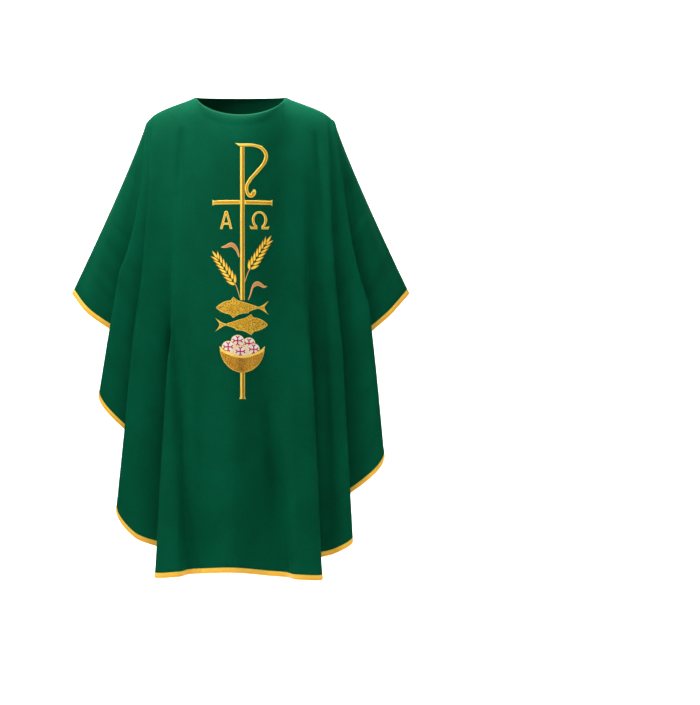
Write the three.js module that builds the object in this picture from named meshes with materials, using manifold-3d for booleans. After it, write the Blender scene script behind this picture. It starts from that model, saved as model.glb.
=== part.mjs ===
// A chasuble: the wide outer vestment, hung as it hangs on its wearer.
//
// Two cloth panels, front and back, meet at the shoulder seams and fall in folds from the shoulder tips. The sides are
// open. A satin binding edges the whole hem, facings finish the neck inside, and the front carries an embroidered motif
// of separate stitched pieces on one stabiliser.
//
// Millimetres. +Z is up, the wearer faces -Y, and the origin is the middle of the neck opening, level with the two neck
// points where the shoulder seams begin.
import * as THREE from "three";
import { mergeVertices } from "three/addons/utils/BufferGeometryUtils.js";
import { TessellateModifier } from "three/addons/modifiers/TessellateModifier.js";
import Module from "manifold-3d";

const wasm = await Module();
wasm.setup();

// ---------------------------------------------------------------- driving sizes
const FRONT_LENGTH = 1243; // neck point straight down to the lowest point of the front hem
const BACK_LENGTH = 1212;
const HALF_SPAN = 444; // centre line out to the end of a shoulder seam, as hung
const SEAM_END_DROP = 515; // neck point straight down to the end of a shoulder seam
const FRONT_DEPTH = 206; // seam plane forward to the furthest fold of the front hem
const BACK_DEPTH = 175;

const NECK_HALF_WIDTH = 116;
const NECK_FRONT = { depth: 92, drop: 57 };
const NECK_BACK = { depth: 72, drop: -6 }; // the nape is a little higher than the neck points
const SHOULDER_HALF_WIDTH = 250;
const SHOULDER_DROP = 70;

const CLOTH = 1.2; // panel thickness, with its nap
const CLEARANCE = 0.3; // between pieces that lie on each other
const WRAP_CLEARANCE = 0.4; // inside a strip that follows the folds of a panel
const BINDING = { width: 12, thickness: 0.6 };
const FACING = { depth: 54, thickness: 0.6 };
const SEAM_ALLOWANCE = { width: 10, thickness: 2 };
const STABILISER = { thickness: 0.5, halfWidth: 80, above: 18, below: 8 };
const STITCH_HEIGHT = 1.0; // how far the embroidery stands up
const CROSS_STITCH_HEIGHT = 0.5; // the red crosses, over the hosts
const DRAPE_CLEARANCE = 0.98; // pieces that follow the curved front with facets of their own

// The panels stand this far off the seam plane, so that two bindings pass each other at the end of a seam.
const SEAM_STANDOFF = CLOTH / 2 + WRAP_CLEARANCE + BINDING.thickness + CLEARANCE / 2;

// Rows of the panel grid below the neck facing and above the binding, as shares from the shoulder (0) to the hem (1).
const MIDDLE_ROWS = [0.1, 0.2, 0.4, 0.68];
const STEPS_PER_FOLD = 4;
const EDGE_REACH = 0.1; // how far down, as a share of the length, the exact top edge shapes the cloth

// Fold lines, from one end of the panel to the other. Each runs from the shoulder or neck down to the hem:
//   top      where it starts: 0 centre of the neck, 1 neck point, 2 shoulder tip, negative on the wearer's right
//   across   where it ends at the hem, as a share of HALF_SPAN
//   down     how low it ends: 0 level with the seam ends, 1 at the lowest hem
//   forward  how far out from the seam plane it ends, as a share of the panel's depth
//   flare    above 1 the line hangs straight and kicks out low down, below 1 it spreads early
//   swell    how far the body pushes the cloth out on the way down, in mm
const FRONT_FOLDS = [
  { top: -2.0, across: -1.0, down: 0.0, forward: 0.0, flare: 1.1, swell: 0 },
  { top: -1.985, across: -0.905, down: 0.07, forward: 0.17, flare: 1.05, swell: 20 },
  { top: -1.97, across: -0.524, down: 0.257, forward: 0.21, flare: 1.0, swell: 28 },
  { top: -1.94, across: -0.824, down: 0.366, forward: 0.43, flare: 0.92, swell: 32 },
  { top: -1.9, across: -0.423, down: 0.659, forward: 0.46, flare: 1.0, swell: 36 },
  { top: -1.84, across: -0.714, down: 0.763, forward: 0.655, flare: 1.0, swell: 42 },
  { top: -1.78, across: -0.613, down: 0.86, forward: 0.69, flare: 1.0, swell: 44 },
  { top: -1.66, across: -0.304, down: 0.932, forward: 0.63, flare: 1.0, swell: 46 },
  { top: -1.33, across: -0.495, down: 0.993, forward: 0.922, flare: 1.3, swell: 57 },
  { top: -1.0, across: -0.372, down: 0.99, forward: 1.0, flare: 1.15, swell: 48 },
  { top: -0.72, across: -0.238, down: 0.984, forward: 0.903, flare: 1.1, swell: 40 },
  { top: -0.12, across: -0.051, down: 0.975, forward: 1.0, flare: 1.0, swell: 34 },
  { top: 0.5, across: 0.164, down: 0.993, forward: 0.835, flare: 1.0, swell: 38 },
  { top: 1.0, across: 0.332, down: 0.999, forward: 1.0, flare: 1.15, swell: 48 },
  { top: 1.28, across: 0.475, down: 1.0, forward: 0.913, flare: 1.3, swell: 57 },
  { top: 1.66, across: 0.315, down: 0.953, forward: 0.62, flare: 1.0, swell: 46 },
  { top: 1.78, across: 0.544, down: 0.918, forward: 0.67, flare: 1.0, swell: 44 },
  { top: 1.84, across: 0.648, down: 0.875, forward: 0.65, flare: 1.0, swell: 42 },
  { top: 1.9, across: 0.4, down: 0.832, forward: 0.46, flare: 1.0, swell: 36 },
  { top: 1.94, across: 0.836, down: 0.585, forward: 0.43, flare: 0.95, swell: 32 },
  { top: 1.97, across: 0.494, down: 0.332, forward: 0.21, flare: 1.0, swell: 28 },
  { top: 1.985, across: 0.895, down: 0.07, forward: 0.17, flare: 1.05, swell: 20 },
  { top: 2.0, across: 1.0, down: 0.0, forward: 0.0, flare: 1.1, swell: 0 },
];
const BACK_FOLDS = [
  { top: -2.0, across: -1.0, down: 0.0, forward: 0.0, flare: 1.1, swell: 0 },
  { top: -1.985, across: -0.9, down: 0.07, forward: 0.2, flare: 1.05, swell: 20 },
  { top: -1.97, across: -0.5, down: 0.28, forward: 0.24, flare: 1.0, swell: 26 },
  { top: -1.94, across: -0.79, down: 0.392, forward: 0.44, flare: 0.95, swell: 30 },
  { top: -1.9, across: -0.41, down: 0.66, forward: 0.48, flare: 1.0, swell: 32 },
  { top: -1.84, across: -0.68, down: 0.765, forward: 0.67, flare: 1.0, swell: 36 },
  { top: -1.78, across: -0.57, down: 0.87, forward: 0.71, flare: 1.0, swell: 38 },
  { top: -1.66, across: -0.29, down: 0.94, forward: 0.64, flare: 1.0, swell: 40 },
  { top: -1.33, across: -0.46, down: 0.995, forward: 0.93, flare: 1.25, swell: 50 },
  { top: -1.0, across: -0.33, down: 1.0, forward: 1.0, flare: 1.15, swell: 46 },
  { top: -0.6, across: -0.18, down: 0.99, forward: 0.87, flare: 1.0, swell: 40 },
  { top: 0.0, across: 0.0, down: 0.985, forward: 0.99, flare: 1.0, swell: 36 },
  { top: 0.6, across: 0.17, down: 0.99, forward: 0.86, flare: 1.0, swell: 40 },
  { top: 1.0, across: 0.32, down: 1.0, forward: 1.0, flare: 1.15, swell: 46 },
  { top: 1.3, across: 0.45, down: 0.995, forward: 0.93, flare: 1.25, swell: 50 },
  { top: 1.66, across: 0.28, down: 0.95, forward: 0.63, flare: 1.0, swell: 40 },
  { top: 1.78, across: 0.5, down: 0.915, forward: 0.7, flare: 1.0, swell: 38 },
  { top: 1.84, across: 0.61, down: 0.87, forward: 0.66, flare: 1.0, swell: 36 },
  { top: 1.9, across: 0.38, down: 0.825, forward: 0.47, flare: 1.0, swell: 32 },
  { top: 1.94, across: 0.79, down: 0.575, forward: 0.44, flare: 0.95, swell: 30 },
  { top: 1.97, across: 0.47, down: 0.325, forward: 0.24, flare: 1.0, swell: 26 },
  { top: 1.985, across: 0.89, down: 0.07, forward: 0.2, flare: 1.05, swell: 20 },
  { top: 2.0, across: 1.0, down: 0.0, forward: 0.0, flare: 1.1, swell: 0 },
];

// ---------------------------------------------------------------- materials
function cloth(name, colour, roughness, metalness = 0) {
  const made = new THREE.MeshStandardMaterial({ color: colour, roughness, metalness });
  made.name = name;
  return made;
}
const GREEN = cloth("green_cloth", 0x00603f, 0.75);
const GREEN_INSIDE = cloth("green_facing", 0x004c32, 0.8);
const GOLD_SATIN = cloth("gold_satin", 0xf2b52c, 0.4);
const GOLD_THREAD = cloth("gold_thread", 0xdda02a, 0.35, 0.3);
const PALE_GOLD_THREAD = cloth("pale_gold_thread", 0xf5d05a, 0.35, 0.2);
const COPPER_THREAD = cloth("copper_thread", 0xc98a52, 0.45, 0.1);
const WHITE_THREAD = cloth("white_thread", 0xf1ecec, 0.5);
const RED_THREAD = cloth("red_thread", 0xb5213f, 0.5);
const STABILISER_FLEECE = cloth("stabiliser_fleece", 0xd9dcd6, 0.9);

const range = (from, to) => Array.from({ length: to - from + 1 }, (_, i) => from + i);

// ---------------------------------------------------------------- the drape of a panel
// The top edge of a panel: neckline between the neck points, shoulder seam out to the tips.
function topPoint(top, neck, facing) {
  const side = Math.sign(top);
  const t = Math.abs(top);
  if (t <= 1) {
    const round = Math.sqrt(1 - t * t);
    const y = facing * (SEAM_STANDOFF + neck.depth * round);
    return new THREE.Vector3(top * NECK_HALF_WIDTH, y, -neck.drop * Math.pow(round, 1.2));
  }
  const out = t - 1;
  const x = side * THREE.MathUtils.lerp(NECK_HALF_WIDTH, SHOULDER_HALF_WIDTH, out);
  const z = -SHOULDER_DROP * (0.7 * out + 0.3 * Math.pow(out, 7));
  return new THREE.Vector3(x, facing * SEAM_STANDOFF, z);
}

// A panel's middle surface. facing is -1 for the front and +1 for the back.
class Drape {
  constructor(folds, length, depth, neck, facing) {
    Object.assign(this, { folds, length, depth, neck, facing });
    this.columns = (folds.length - 1) * STEPS_PER_FOLD;
    this.facingRows = [0, FACING.depth / 3 / length, FACING.depth / length];
    this.rowCurves = new Map();
  }

  hemPoint(fold) {
    const x = fold.across * HALF_SPAN;
    const y = this.facing * (SEAM_STANDOFF + fold.forward * this.depth);
    return new THREE.Vector3(x, y, -THREE.MathUtils.lerp(SEAM_END_DROP, this.length, fold.down));
  }

  linePoint(fold, v) {
    const start = topPoint(fold.top, this.neck, this.facing);
    const end = this.hemPoint(fold);
    const push = this.facing * fold.swell * Math.sin(Math.PI * Math.pow(v, 0.45));
    return new THREE.Vector3(
      THREE.MathUtils.lerp(start.x, end.x, Math.pow(v, fold.flare)),
      THREE.MathUtils.lerp(start.y, end.y, v) + push,
      THREE.MathUtils.lerp(start.z, end.z, v),
    );
  }

  rowCurve(v) {
    if (!this.rowCurves.has(v)) {
      const row = this.folds.map((fold) => this.linePoint(fold, v));
      this.rowCurves.set(v, new THREE.CatmullRomCurve3(row, false, "centripetal"));
    }
    return this.rowCurves.get(v);
  }

  // u runs 0 to 1 from the wearer's right to left, v 0 to 1 from the shoulder to the hem. The smooth curve through the
  // fold lines would round off the corner at each neck point, so the top of the cloth is drawn back to its own edge.
  point(u, v) {
    const along = u * (this.folds.length - 1);
    const i = Math.min(Math.floor(along), this.folds.length - 2);
    const top = THREE.MathUtils.lerp(this.folds[i].top, this.folds[i + 1].top, along - i);
    const miss = topPoint(top, this.neck, this.facing).sub(this.rowCurve(0).getPoint(u));
    return this.rowCurve(v).getPoint(u).addScaledVector(miss, Math.max(0, 1 - v / EDGE_REACH));
  }

  // The way the right side of the cloth faces.
  normal(u, v) {
    const step = 1e-4;
    const [u0, u1] = [Math.max(u - step, 0), Math.min(u + step, 1)];
    const [v0, v1] = [Math.max(v - step, 0), Math.min(v + step, 1)];
    const alongHem = this.point(u1, v).sub(this.point(u0, v));
    const downCloth = this.point(u, v1).sub(this.point(u, v0));
    return alongHem.cross(downCloth).multiplyScalar(this.facing).normalize();
  }

  place(u, v) {
    return { point: this.point(u, v), normal: this.normal(u, v) };
  }

  // Rows of places: between two columns, at the given shares of the way down.
  rows(shares, first = 0, last = this.columns) {
    return shares.map((v) => range(first, last).map((column) => this.place(column / this.columns, v)));
  }

  // The row where the upper edge of the hem binding lies, at the same depth on every fold line.
  bindingTop() {
    const near = 0.9;
    return range(0, this.columns).map((column) => {
      const u = column / this.columns;
      const reach = this.point(u, 1).distanceTo(this.point(u, near));
      return this.place(u, 1 - ((1 - near) * BINDING.width) / reach);
    });
  }

  grid() {
    const upper = this.rows([...this.facingRows, ...MIDDLE_ROWS]);
    return [...upper, this.bindingTop(), ...this.rows([1])];
  }

  // The panel's own facets, two to each cell of its grid, as the middle surface.
  facets() {
    const grid = this.grid().map((row) => row.map(({ point }) => point));
    const cells = range(0, grid.length - 2).flatMap((r) => range(0, this.columns - 1).map((c) => [r, c]));
    return cells.flatMap(([r, c]) => [
      new THREE.Triangle(grid[r][c], grid[r + 1][c], grid[r + 1][c + 1]),
      new THREE.Triangle(grid[r][c], grid[r + 1][c + 1], grid[r][c + 1]),
    ]);
  }

  // The place on the panel's facets straight behind the point (x, z), as seen from in front. Where folds overlap, the
  // outermost one.
  behind(x, z) {
    this.meshed ??= this.facets();
    const probe = new THREE.Vector3(x, 0, z);
    const shadow = (corner) => new THREE.Vector3(corner.x, 0, corner.z);
    let best = null;
    for (const facet of this.meshed) {
      const corners = [facet.a, facet.b, facet.c];
      if (x < Math.min(...corners.map((p) => p.x)) || x > Math.max(...corners.map((p) => p.x))) continue;
      if (z < Math.min(...corners.map((p) => p.z)) || z > Math.max(...corners.map((p) => p.z))) continue;
      const flat = new THREE.Triangle(...corners.map(shadow));
      const share = flat.getBarycoord(probe, new THREE.Vector3());
      if (!share || Math.min(share.x, share.y, share.z) < -1e-9) continue;
      const y = share.x * facet.a.y + share.y * facet.b.y + share.z * facet.c.y;
      if (best && this.facing * best.point.y > this.facing * y) continue;
      const normal = facet.getNormal(new THREE.Vector3());
      if (Math.sign(normal.y) !== this.facing) normal.negate();
      best = { point: new THREE.Vector3(x, y, z), normal };
    }
    return best;
  }
}

const front = new Drape(FRONT_FOLDS, FRONT_LENGTH, FRONT_DEPTH, NECK_FRONT, -1);
const back = new Drape(BACK_FOLDS, BACK_LENGTH, BACK_DEPTH, NECK_BACK, 1);

// ---------------------------------------------------------------- closed meshes
// A geometry with only positions, its shared vertices merged and its faces turned outwards.
function closed(positions, indices) {
  const geometry = new THREE.BufferGeometry();
  geometry.setAttribute("position", new THREE.Float32BufferAttribute(positions, 3));
  geometry.setIndex(indices);
  const at = (i) => new THREE.Vector3().fromArray(positions, 3 * i);
  let volume = 0;
  for (let i = 0; i < indices.length; i += 3) {
    volume += at(indices[i]).dot(at(indices[i + 1]).cross(at(indices[i + 2])));
  }
  if (volume < 0) geometry.setIndex([...indices].reverse());
  return geometry;
}

// A slab over a grid of places, between two heights along each place's normal.
function slab(grid, low, high) {
  const [rows, columns] = [grid.length, grid[0].length];
  const positions = [];
  for (const height of [low, high]) {
    for (const { point, normal } of grid.flat()) {
      positions.push(...point.clone().addScaledVector(normal, height).toArray());
    }
  }
  const at = (layer, row, column) => (layer * rows + row) * columns + column;
  const indices = [];
  const quad = (a, b, c, d) => indices.push(a, b, c, a, c, d);
  for (let r = 0; r < rows - 1; r++) {
    for (let c = 0; c < columns - 1; c++) {
      quad(at(1, r, c), at(1, r + 1, c), at(1, r + 1, c + 1), at(1, r, c + 1));
      quad(at(0, r, c), at(0, r, c + 1), at(0, r + 1, c + 1), at(0, r + 1, c));
    }
    quad(at(0, r, 0), at(0, r + 1, 0), at(1, r + 1, 0), at(1, r, 0));
    const e = columns - 1;
    quad(at(0, r, e), at(1, r, e), at(1, r + 1, e), at(0, r + 1, e));
  }
  for (let c = 0; c < columns - 1; c++) {
    quad(at(0, 0, c), at(1, 0, c), at(1, 0, c + 1), at(0, 0, c + 1));
    const e = rows - 1;
    quad(at(0, e, c), at(0, e, c + 1), at(1, e, c + 1), at(1, e, c));
  }
  return closed(positions, indices);
}

// A tube of any section through a list of rings, closed at both ends. The section is listed anticlockwise or clockwise
// in the same order on every ring, and each end is closed with the given triangles of it.
function swept(rings, capTriangles) {
  const size = rings[0].length;
  const positions = rings.flat().flatMap((p) => p.toArray());
  const indices = [];
  for (let r = 0; r < rings.length - 1; r++) {
    for (let k = 0; k < size; k++) {
      const [a, b] = [r * size + k, r * size + ((k + 1) % size)];
      indices.push(a, b, b + size, a, b + size, a + size);
    }
  }
  const last = (rings.length - 1) * size;
  for (const [a, b, c] of capTriangles) {
    indices.push(a, c, b, last + a, last + b, last + c);
  }
  return closed(positions, indices);
}

function solidOf(geometry) {
  const bare = geometry.clone();
  bare.deleteAttribute("normal");
  bare.deleteAttribute("uv");
  const merged = mergeVertices(bare, 1e-4);
  return new wasm.Manifold(
    new wasm.Mesh({
      numProp: 3,
      vertProperties: new Float32Array(merged.attributes.position.array),
      triVerts: new Uint32Array(merged.index.array),
    }),
  );
}

function geometryOf(solid) {
  const mesh = solid.getMesh();
  const geometry = new THREE.BufferGeometry();
  geometry.setAttribute("position", new THREE.BufferAttribute(mesh.vertProperties, 3));
  geometry.setIndex(new THREE.BufferAttribute(mesh.triVerts, 1));
  return geometry;
}

// ---------------------------------------------------------------- panels, binding, facings, seams
const panel = (drape) => slab(drape.grid(), -CLOTH / 2, CLOTH / 2);

// The band inside the neckline, from neck point to neck point.
function neckFacing(drape) {
  const neckPoints = drape.folds.flatMap((fold, i) => (Math.abs(fold.top) === 1 ? [i * STEPS_PER_FOLD] : []));
  const outer = -CLOTH / 2 - WRAP_CLEARANCE;
  return slab(drape.rows(drape.facingRows, ...neckPoints), outer - FACING.thickness, outer);
}

// A folded strip that wraps the cut edge of the hem, like a narrow trough.
function hemBinding(drape) {
  const inner = CLOTH / 2 + WRAP_CLEARANCE;
  const outer = inner + BINDING.thickness;
  const edges = drape.rows([1])[0];
  const rings = drape.bindingTop().map((top, i) => {
    const edge = edges[i];
    const down = edge.point.clone().sub(top.point).normalize();
    const above = (off) => top.point.clone().addScaledVector(top.normal, off);
    const below = (off, along) => edge.point.clone().addScaledVector(edge.normal, off).addScaledVector(down, along);
    const base = WRAP_CLEARANCE + BINDING.thickness;
    return [
      above(-outer),
      below(-outer, base),
      below(outer, base),
      above(outer),
      above(inner),
      below(inner, WRAP_CLEARANCE),
      below(-inner, WRAP_CLEARANCE),
      above(-inner),
    ];
  });
  const cap = [
    [0, 1, 6],
    [0, 6, 7],
    [1, 2, 5],
    [1, 5, 6],
    [2, 3, 4],
    [2, 4, 5],
  ];
  return swept(rings, cap);
}

// The turned-in edges of both panels, stitched together along the shoulder seam from the neck to above the binding.
function shoulderSeam(side) {
  const shoulder = [1.02, 1.2, 1.4, 1.6, 1.8, 1.9, 1.96].map((t) => topPoint(side * t, NECK_FRONT, 0));
  const seamFold = side < 0 ? FRONT_FOLDS[0] : FRONT_FOLDS.at(-1);
  const armLine = [0, 0.05, 0.15, 0.3, 0.45, 0.6, 0.75, 0.96].map((v) => front.linePoint(seamFold, v).setY(0));
  const line = [...shoulder, ...armLine];
  const half = SEAM_ALLOWANCE.thickness / 2;
  const rings = line.map((place, i) => {
    const ahead = line[Math.min(i + 1, line.length - 1)];
    const behind = line[Math.max(i - 1, 0)];
    const along = ahead.clone().sub(behind).normalize();
    const inward = new THREE.Vector3(side * along.z, 0, -side * along.x);
    const deep = CLOTH + SEAM_ALLOWANCE.width;
    return [
      place.clone().addScaledVector(inward, CLOTH).setY(-half),
      place.clone().addScaledVector(inward, deep).setY(-half),
      place.clone().addScaledVector(inward, deep).setY(half),
      place.clone().addScaledVector(inward, CLOTH).setY(half),
    ];
  });
  return swept(rings, [
    [0, 1, 2],
    [0, 2, 3],
  ]);
}

// ---------------------------------------------------------------- embroidery
// The motif is drawn flat, x across from the centre of the staff and y up from the top of the bow, then laid on the
// front. Each piece is its own stitched patch.
const MOTIF_X = 4;
const MOTIF_TOP = -136;
const STITCH_GAP = 0.5; // bare cloth left between neighbouring patches
const STAFF_HALF_WIDTH = 5.4;
const BOW_WIDTH = 8.4;
const CROSSBAR = { y: -151.5, halfLength: 75, halfHeight: 5.2, flare: 2.6 };
const STAFF_FOOT_Y = -402;
const LETTER = { height: 46, stroke: 6.2, y: -220 };
const HOST_RADIUS = 16.3;
const BOWL = { halfWidth: 56.5, rimY: -518.8, sag: 25, depth: 67, rimBand: 3.6 };
const STEM_FOOT_Y = -653;
const LONGEST_EDGE = 16; // facets stay short enough to follow the cloth

const vec = (x, y) => new THREE.Vector2(x, y);

function plate(shape, height = STITCH_HEIGHT) {
  return new THREE.ExtrudeGeometry(shape, { depth: height, bevelEnabled: false, curveSegments: 8 });
}

// Bends a flat plate over the front of the chasuble, lift above the cloth.
function laidOnFront(flat, lift = CLOTH / 2 + DRAPE_CLEARANCE) {
  const bare = flat.index ? flat.toNonIndexed() : flat.clone();
  bare.deleteAttribute("normal");
  bare.deleteAttribute("uv");
  const fine = new TessellateModifier(LONGEST_EDGE, 14).modify(bare);
  const position = fine.attributes.position;
  for (let i = 0; i < position.count; i++) {
    const { point, normal } = front.behind(MOTIF_X + position.getX(i), MOTIF_TOP + position.getY(i));
    position.setXYZ(i, ...point.addScaledVector(normal, lift + position.getZ(i)).toArray());
  }
  const merged = mergeVertices(fine, 1e-3);
  return closed(Array.from(merged.attributes.position.array), Array.from(merged.index.array));
}

// A straight or tapering strip of stitching on the front, between the two edges given at each step along it.
function strip(edges, lift = CLOTH / 2 + DRAPE_CLEARANCE) {
  const middle = ([a, b]) => [(a[0] + b[0]) / 2, (a[1] + b[1]) / 2];
  const grid = edges.map((pair) =>
    [pair[0], middle(pair), pair[1]].map(([x, y]) => front.behind(MOTIF_X + x, MOTIF_TOP + y)),
  );
  return slab(grid, lift, lift + STITCH_HEIGHT);
}

const spaced = (from, to, steps) => range(0, steps).map((i) => THREE.MathUtils.lerp(from, to, i / steps));

// The two edges of a band along a smooth line, at even steps. Each point of the line is [x, y, half width].
function ribbon(line, steps) {
  const curve = new THREE.SplineCurve(line.map(([x, y]) => vec(x, y)));
  return spaced(0, 1, steps).map((t) => {
    const here = curve.getPoint(t);
    const ahead = curve.getTangent(t);
    const span = t * (line.length - 1);
    const k = Math.min(Math.floor(span), line.length - 2);
    const half = THREE.MathUtils.lerp(line[k][2], line[k + 1][2], span - k);
    return [
      [here.x + ahead.y * half, here.y - ahead.x * half],
      [here.x - ahead.y * half, here.y + ahead.x * half],
    ];
  });
}

function disc(x, y, radius, height = STITCH_HEIGHT) {
  const shape = new THREE.Shape();
  shape.absarc(x, y, radius, 0, 2 * Math.PI);
  return new THREE.ExtrudeGeometry(shape, { depth: height, bevelEnabled: false, curveSegments: 20 });
}

function polygon(points) {
  return new THREE.Shape(points.map(([x, y]) => vec(x, y)));
}

function staff() {
  const top = -BOW_WIDTH / 2 - 3.5 - STITCH_GAP;
  return strip(
    spaced(top, STAFF_FOOT_Y, 26).map((y) => [
      [-STAFF_HALF_WIDTH, y],
      [STAFF_HALF_WIDTH, y],
    ]),
  );
}

// The hooked end of the staff: across the top, round, and down to a curl that closes on the staff.
function staffBow() {
  const half = BOW_WIDTH / 2;
  const hang = STAFF_HALF_WIDTH + STITCH_GAP + half + 1;
  const line = [
    [-17, -2.2, 0.4],
    [-10, -3.4, half - 1],
    [8, -3.5, half - 0.8],
    [28, -3.8, half - 0.6],
    [48, -10, half],
    [59.5, -27, half],
    [55, -48, half],
    [38, -71, half],
    [21, -91, half],
    [hang + 0.6, -108, half],
    [hang, -121, half],
    [hang + 4, -131.5, half],
    [hang + 11, -135, half + 0.4],
    [27.5, -128.5, half + 2],
    [29.5, -122, half + 0.6],
    [26.5, -119, 0.8],
  ];
  return strip(ribbon(line, 50));
}

function crossbarArm(side) {
  const { y, halfLength, halfHeight, flare } = CROSSBAR;
  const body = spaced(STAFF_HALF_WIDTH + STITCH_GAP, halfLength - 4, 5);
  return strip([
    ...body.map((x) => [
      [side * x, y - halfHeight],
      [side * x, y + halfHeight],
    ]),
    [
      [side * halfLength, y - halfHeight - flare],
      [side * halfLength, y + halfHeight + flare],
    ],
  ]);
}

// The first and last letters of the Greek alphabet, as plain strokes.
function firstLetter() {
  const { height, stroke, y } = LETTER;
  const centre = -40.5;
  const half = 15.5;
  const outline = polygon([
    [centre - half, y],
    [centre - half + stroke, y],
    [centre - half + stroke + 2.6, y + 11],
    [centre + half - stroke - 2.6, y + 11],
    [centre + half - stroke, y],
    [centre + half, y],
    [centre + 3.4, y + height],
    [centre - 3.4, y + height],
  ]);
  outline.holes.push(
    new THREE.Path([vec(centre - 5.6, y + 16), vec(centre, y + height - 9), vec(centre + 5.6, y + 16)]),
  );
  return plate(outline);
}

function lastLetter() {
  const { height, stroke, y } = LETTER;
  const centre = 43;
  const [outerX, outerY, middle] = [19, height / 2 - 1, y + height / 2 + 1];
  const opening = 0.42; // how far each end of the round stroke stops from straight down, in radians
  const ring = new THREE.Shape();
  ring.absellipse(centre, middle, outerX, outerY, -Math.PI / 2 + opening, 1.5 * Math.PI - opening, false);
  const inner = new THREE.Shape();
  inner.absellipse(
    centre,
    middle,
    outerX - stroke,
    outerY - stroke * 0.8,
    -Math.PI / 2 + opening,
    1.5 * Math.PI - opening,
    false,
  );
  const round = new THREE.Shape([...ring.getPoints(16), ...inner.getPoints(16).reverse()]);
  const foot = (side) =>
    plate(
      polygon([
        [centre + side * 5.5, y],
        [centre + side * 22, y],
        [centre + side * 25, y + 9],
        [centre + side * 20, y + stroke],
        [centre + side * 5.5, y + stroke],
      ]),
    );
  const solid = solidOf(plate(round));
  return geometryOf(solid.add(solidOf(foot(-1))).add(solidOf(foot(1))));
}

// An ear of wheat: barbed husks up both sides of its axis and one at the tip.
function wheatEar({ x, y, length, lean }) {
  const husks = 7;
  const pitch = length / (husks + 1.4);
  const edge = range(0, husks - 1).flatMap((k) => {
    const taper = 1 - 0.045 * k;
    return [
      [10.8 * taper, (k + 1.1) * pitch],
      [13.6 * taper, (k + 2.15) * pitch],
      [(k < husks - 1 ? 9.2 : 5.5) * taper, (k + 1.75) * pitch],
    ];
  });
  const right = [[2.2, 0], [8.2, 0.35 * pitch], ...edge];
  const left = right.map(([px, py]) => [-px, py]).reverse();
  const outline = [...right, [0, length + 3], ...left];
  const places = outline.map(([px, py]) => {
    const turned = vec(px, py).rotateAround(vec(0, 0), THREE.MathUtils.degToRad(-lean));
    return [x + turned.x, y + turned.y];
  });
  return plate(polygon(places));
}

const thinStem = (from, to) => strip(ribbon([[...from, 1.1], [...to, 1.1]], 3));

const UPPER_EAR = { x: 16, y: -328, length: 104, lean: 32 };
const LOWER_EAR = { x: -16, y: -366, length: 100, lean: -34 };
const UPPER_LEAF = [
  [-52.2, -267, 0.7],
  [-40, -264.5, 4],
  [-29, -260.3, 5.4],
  [-20.5, -264.6, 5],
  [-13.4, -275.6, 3.2],
  [-8, -292.4, 1.1],
];
const LOWER_LEAF = [
  [14.6, -401.5, 0.9],
  [19.7, -388.4, 1.3],
  [24.9, -370.2, 2.4],
  [32.1, -361.8, 4.8],
  [38.5, -359.2, 5.4],
  [46.9, -363, 4.4],
  [54.8, -367.6, 3],
  [61.6, -365.8, 0.7],
];

// A plain fish, nose at the origin and tail along +x, placed nose first and turned to face left or right.
function fish({ x, y, heading }) {
  const shape = new THREE.Shape();
  shape.moveTo(0, 0);
  shape.bezierCurveTo(8, 9, 20, 17.5, 37, 18.6);
  shape.lineTo(43.5, 27.4);
  shape.quadraticCurveTo(50, 20, 61, 16.2);
  shape.bezierCurveTo(78, 12.6, 92, 6, 105, 2.4);
  shape.bezierCurveTo(112, 2.4, 120, 8, 132, 17);
  shape.quadraticCurveTo(122, 6, 121.5, 0);
  shape.quadraticCurveTo(122, -6, 132.5, -17.5);
  shape.bezierCurveTo(120, -9, 112, -2.6, 105, -2.4);
  shape.bezierCurveTo(97, -4, 90, -7, 83, -9.6);
  shape.lineTo(81, -14);
  shape.quadraticCurveTo(68, -13.6, 55, -18.6);
  shape.lineTo(43, -26);
  shape.lineTo(35, -17);
  shape.bezierCurveTo(22, -16, 8, -8.5, 0, 0);
  const points = shape.getPoints(5).map((p) => [x + heading * p.x, y + p.y]);
  return plate(polygon(points));
}

const UPPER_FISH = { x: -66, y: -421, heading: 1 };
const LOWER_FISH = { x: 64.5, y: -464.5, heading: -1 };

// Hosts, nearest first: each is cut back where a nearer one or the bowl covers it.
const HOSTS = [
  { x: -5.7, y: -533.5 },
  { x: 27.3, y: -528 },
  { x: -35.2, y: -522 },
  { x: -12.3, y: -506.4 },
  { x: 15.9, y: -513.2 },
];

// The curve of the bowl's rim, lowered by drop.
function rimPoints(drop) {
  const { halfWidth, rimY, sag } = BOWL;
  return range(-8, 8).map((i) => {
    const t = i / 8;
    return [t * halfWidth, rimY - sag * (1 - t * t) - drop * (1 - Math.pow(t, 4))];
  });
}

function bowlBody() {
  const { halfWidth, rimY, depth, rimBand } = BOWL;
  const under = range(1, 19).map((i) => {
    const angle = (Math.PI * i) / 20;
    return [halfWidth * Math.cos(angle), rimY - depth * Math.sin(angle)];
  });
  const rim = rimPoints(rimBand + STITCH_GAP).slice(1, -1);
  return plate(polygon([...rim, ...under]));
}

function bowlRim() {
  const upper = rimPoints(0);
  return plate(polygon([...rimPoints(BOWL.rimBand).slice(1, -1), ...upper.reverse()]));
}

// Everything that the bowl hides: a block under the rim's upper edge.
function behindBowl() {
  const { halfWidth, rimY, depth } = BOWL;
  const rim = rimPoints(-STITCH_GAP);
  const block = [...rim, [halfWidth, rimY - 2 * depth], [-halfWidth, rimY - 2 * depth]];
  const deep = plate(polygon(block), 10);
  deep.translate(0, 0, -5);
  return solidOf(deep);
}

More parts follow.
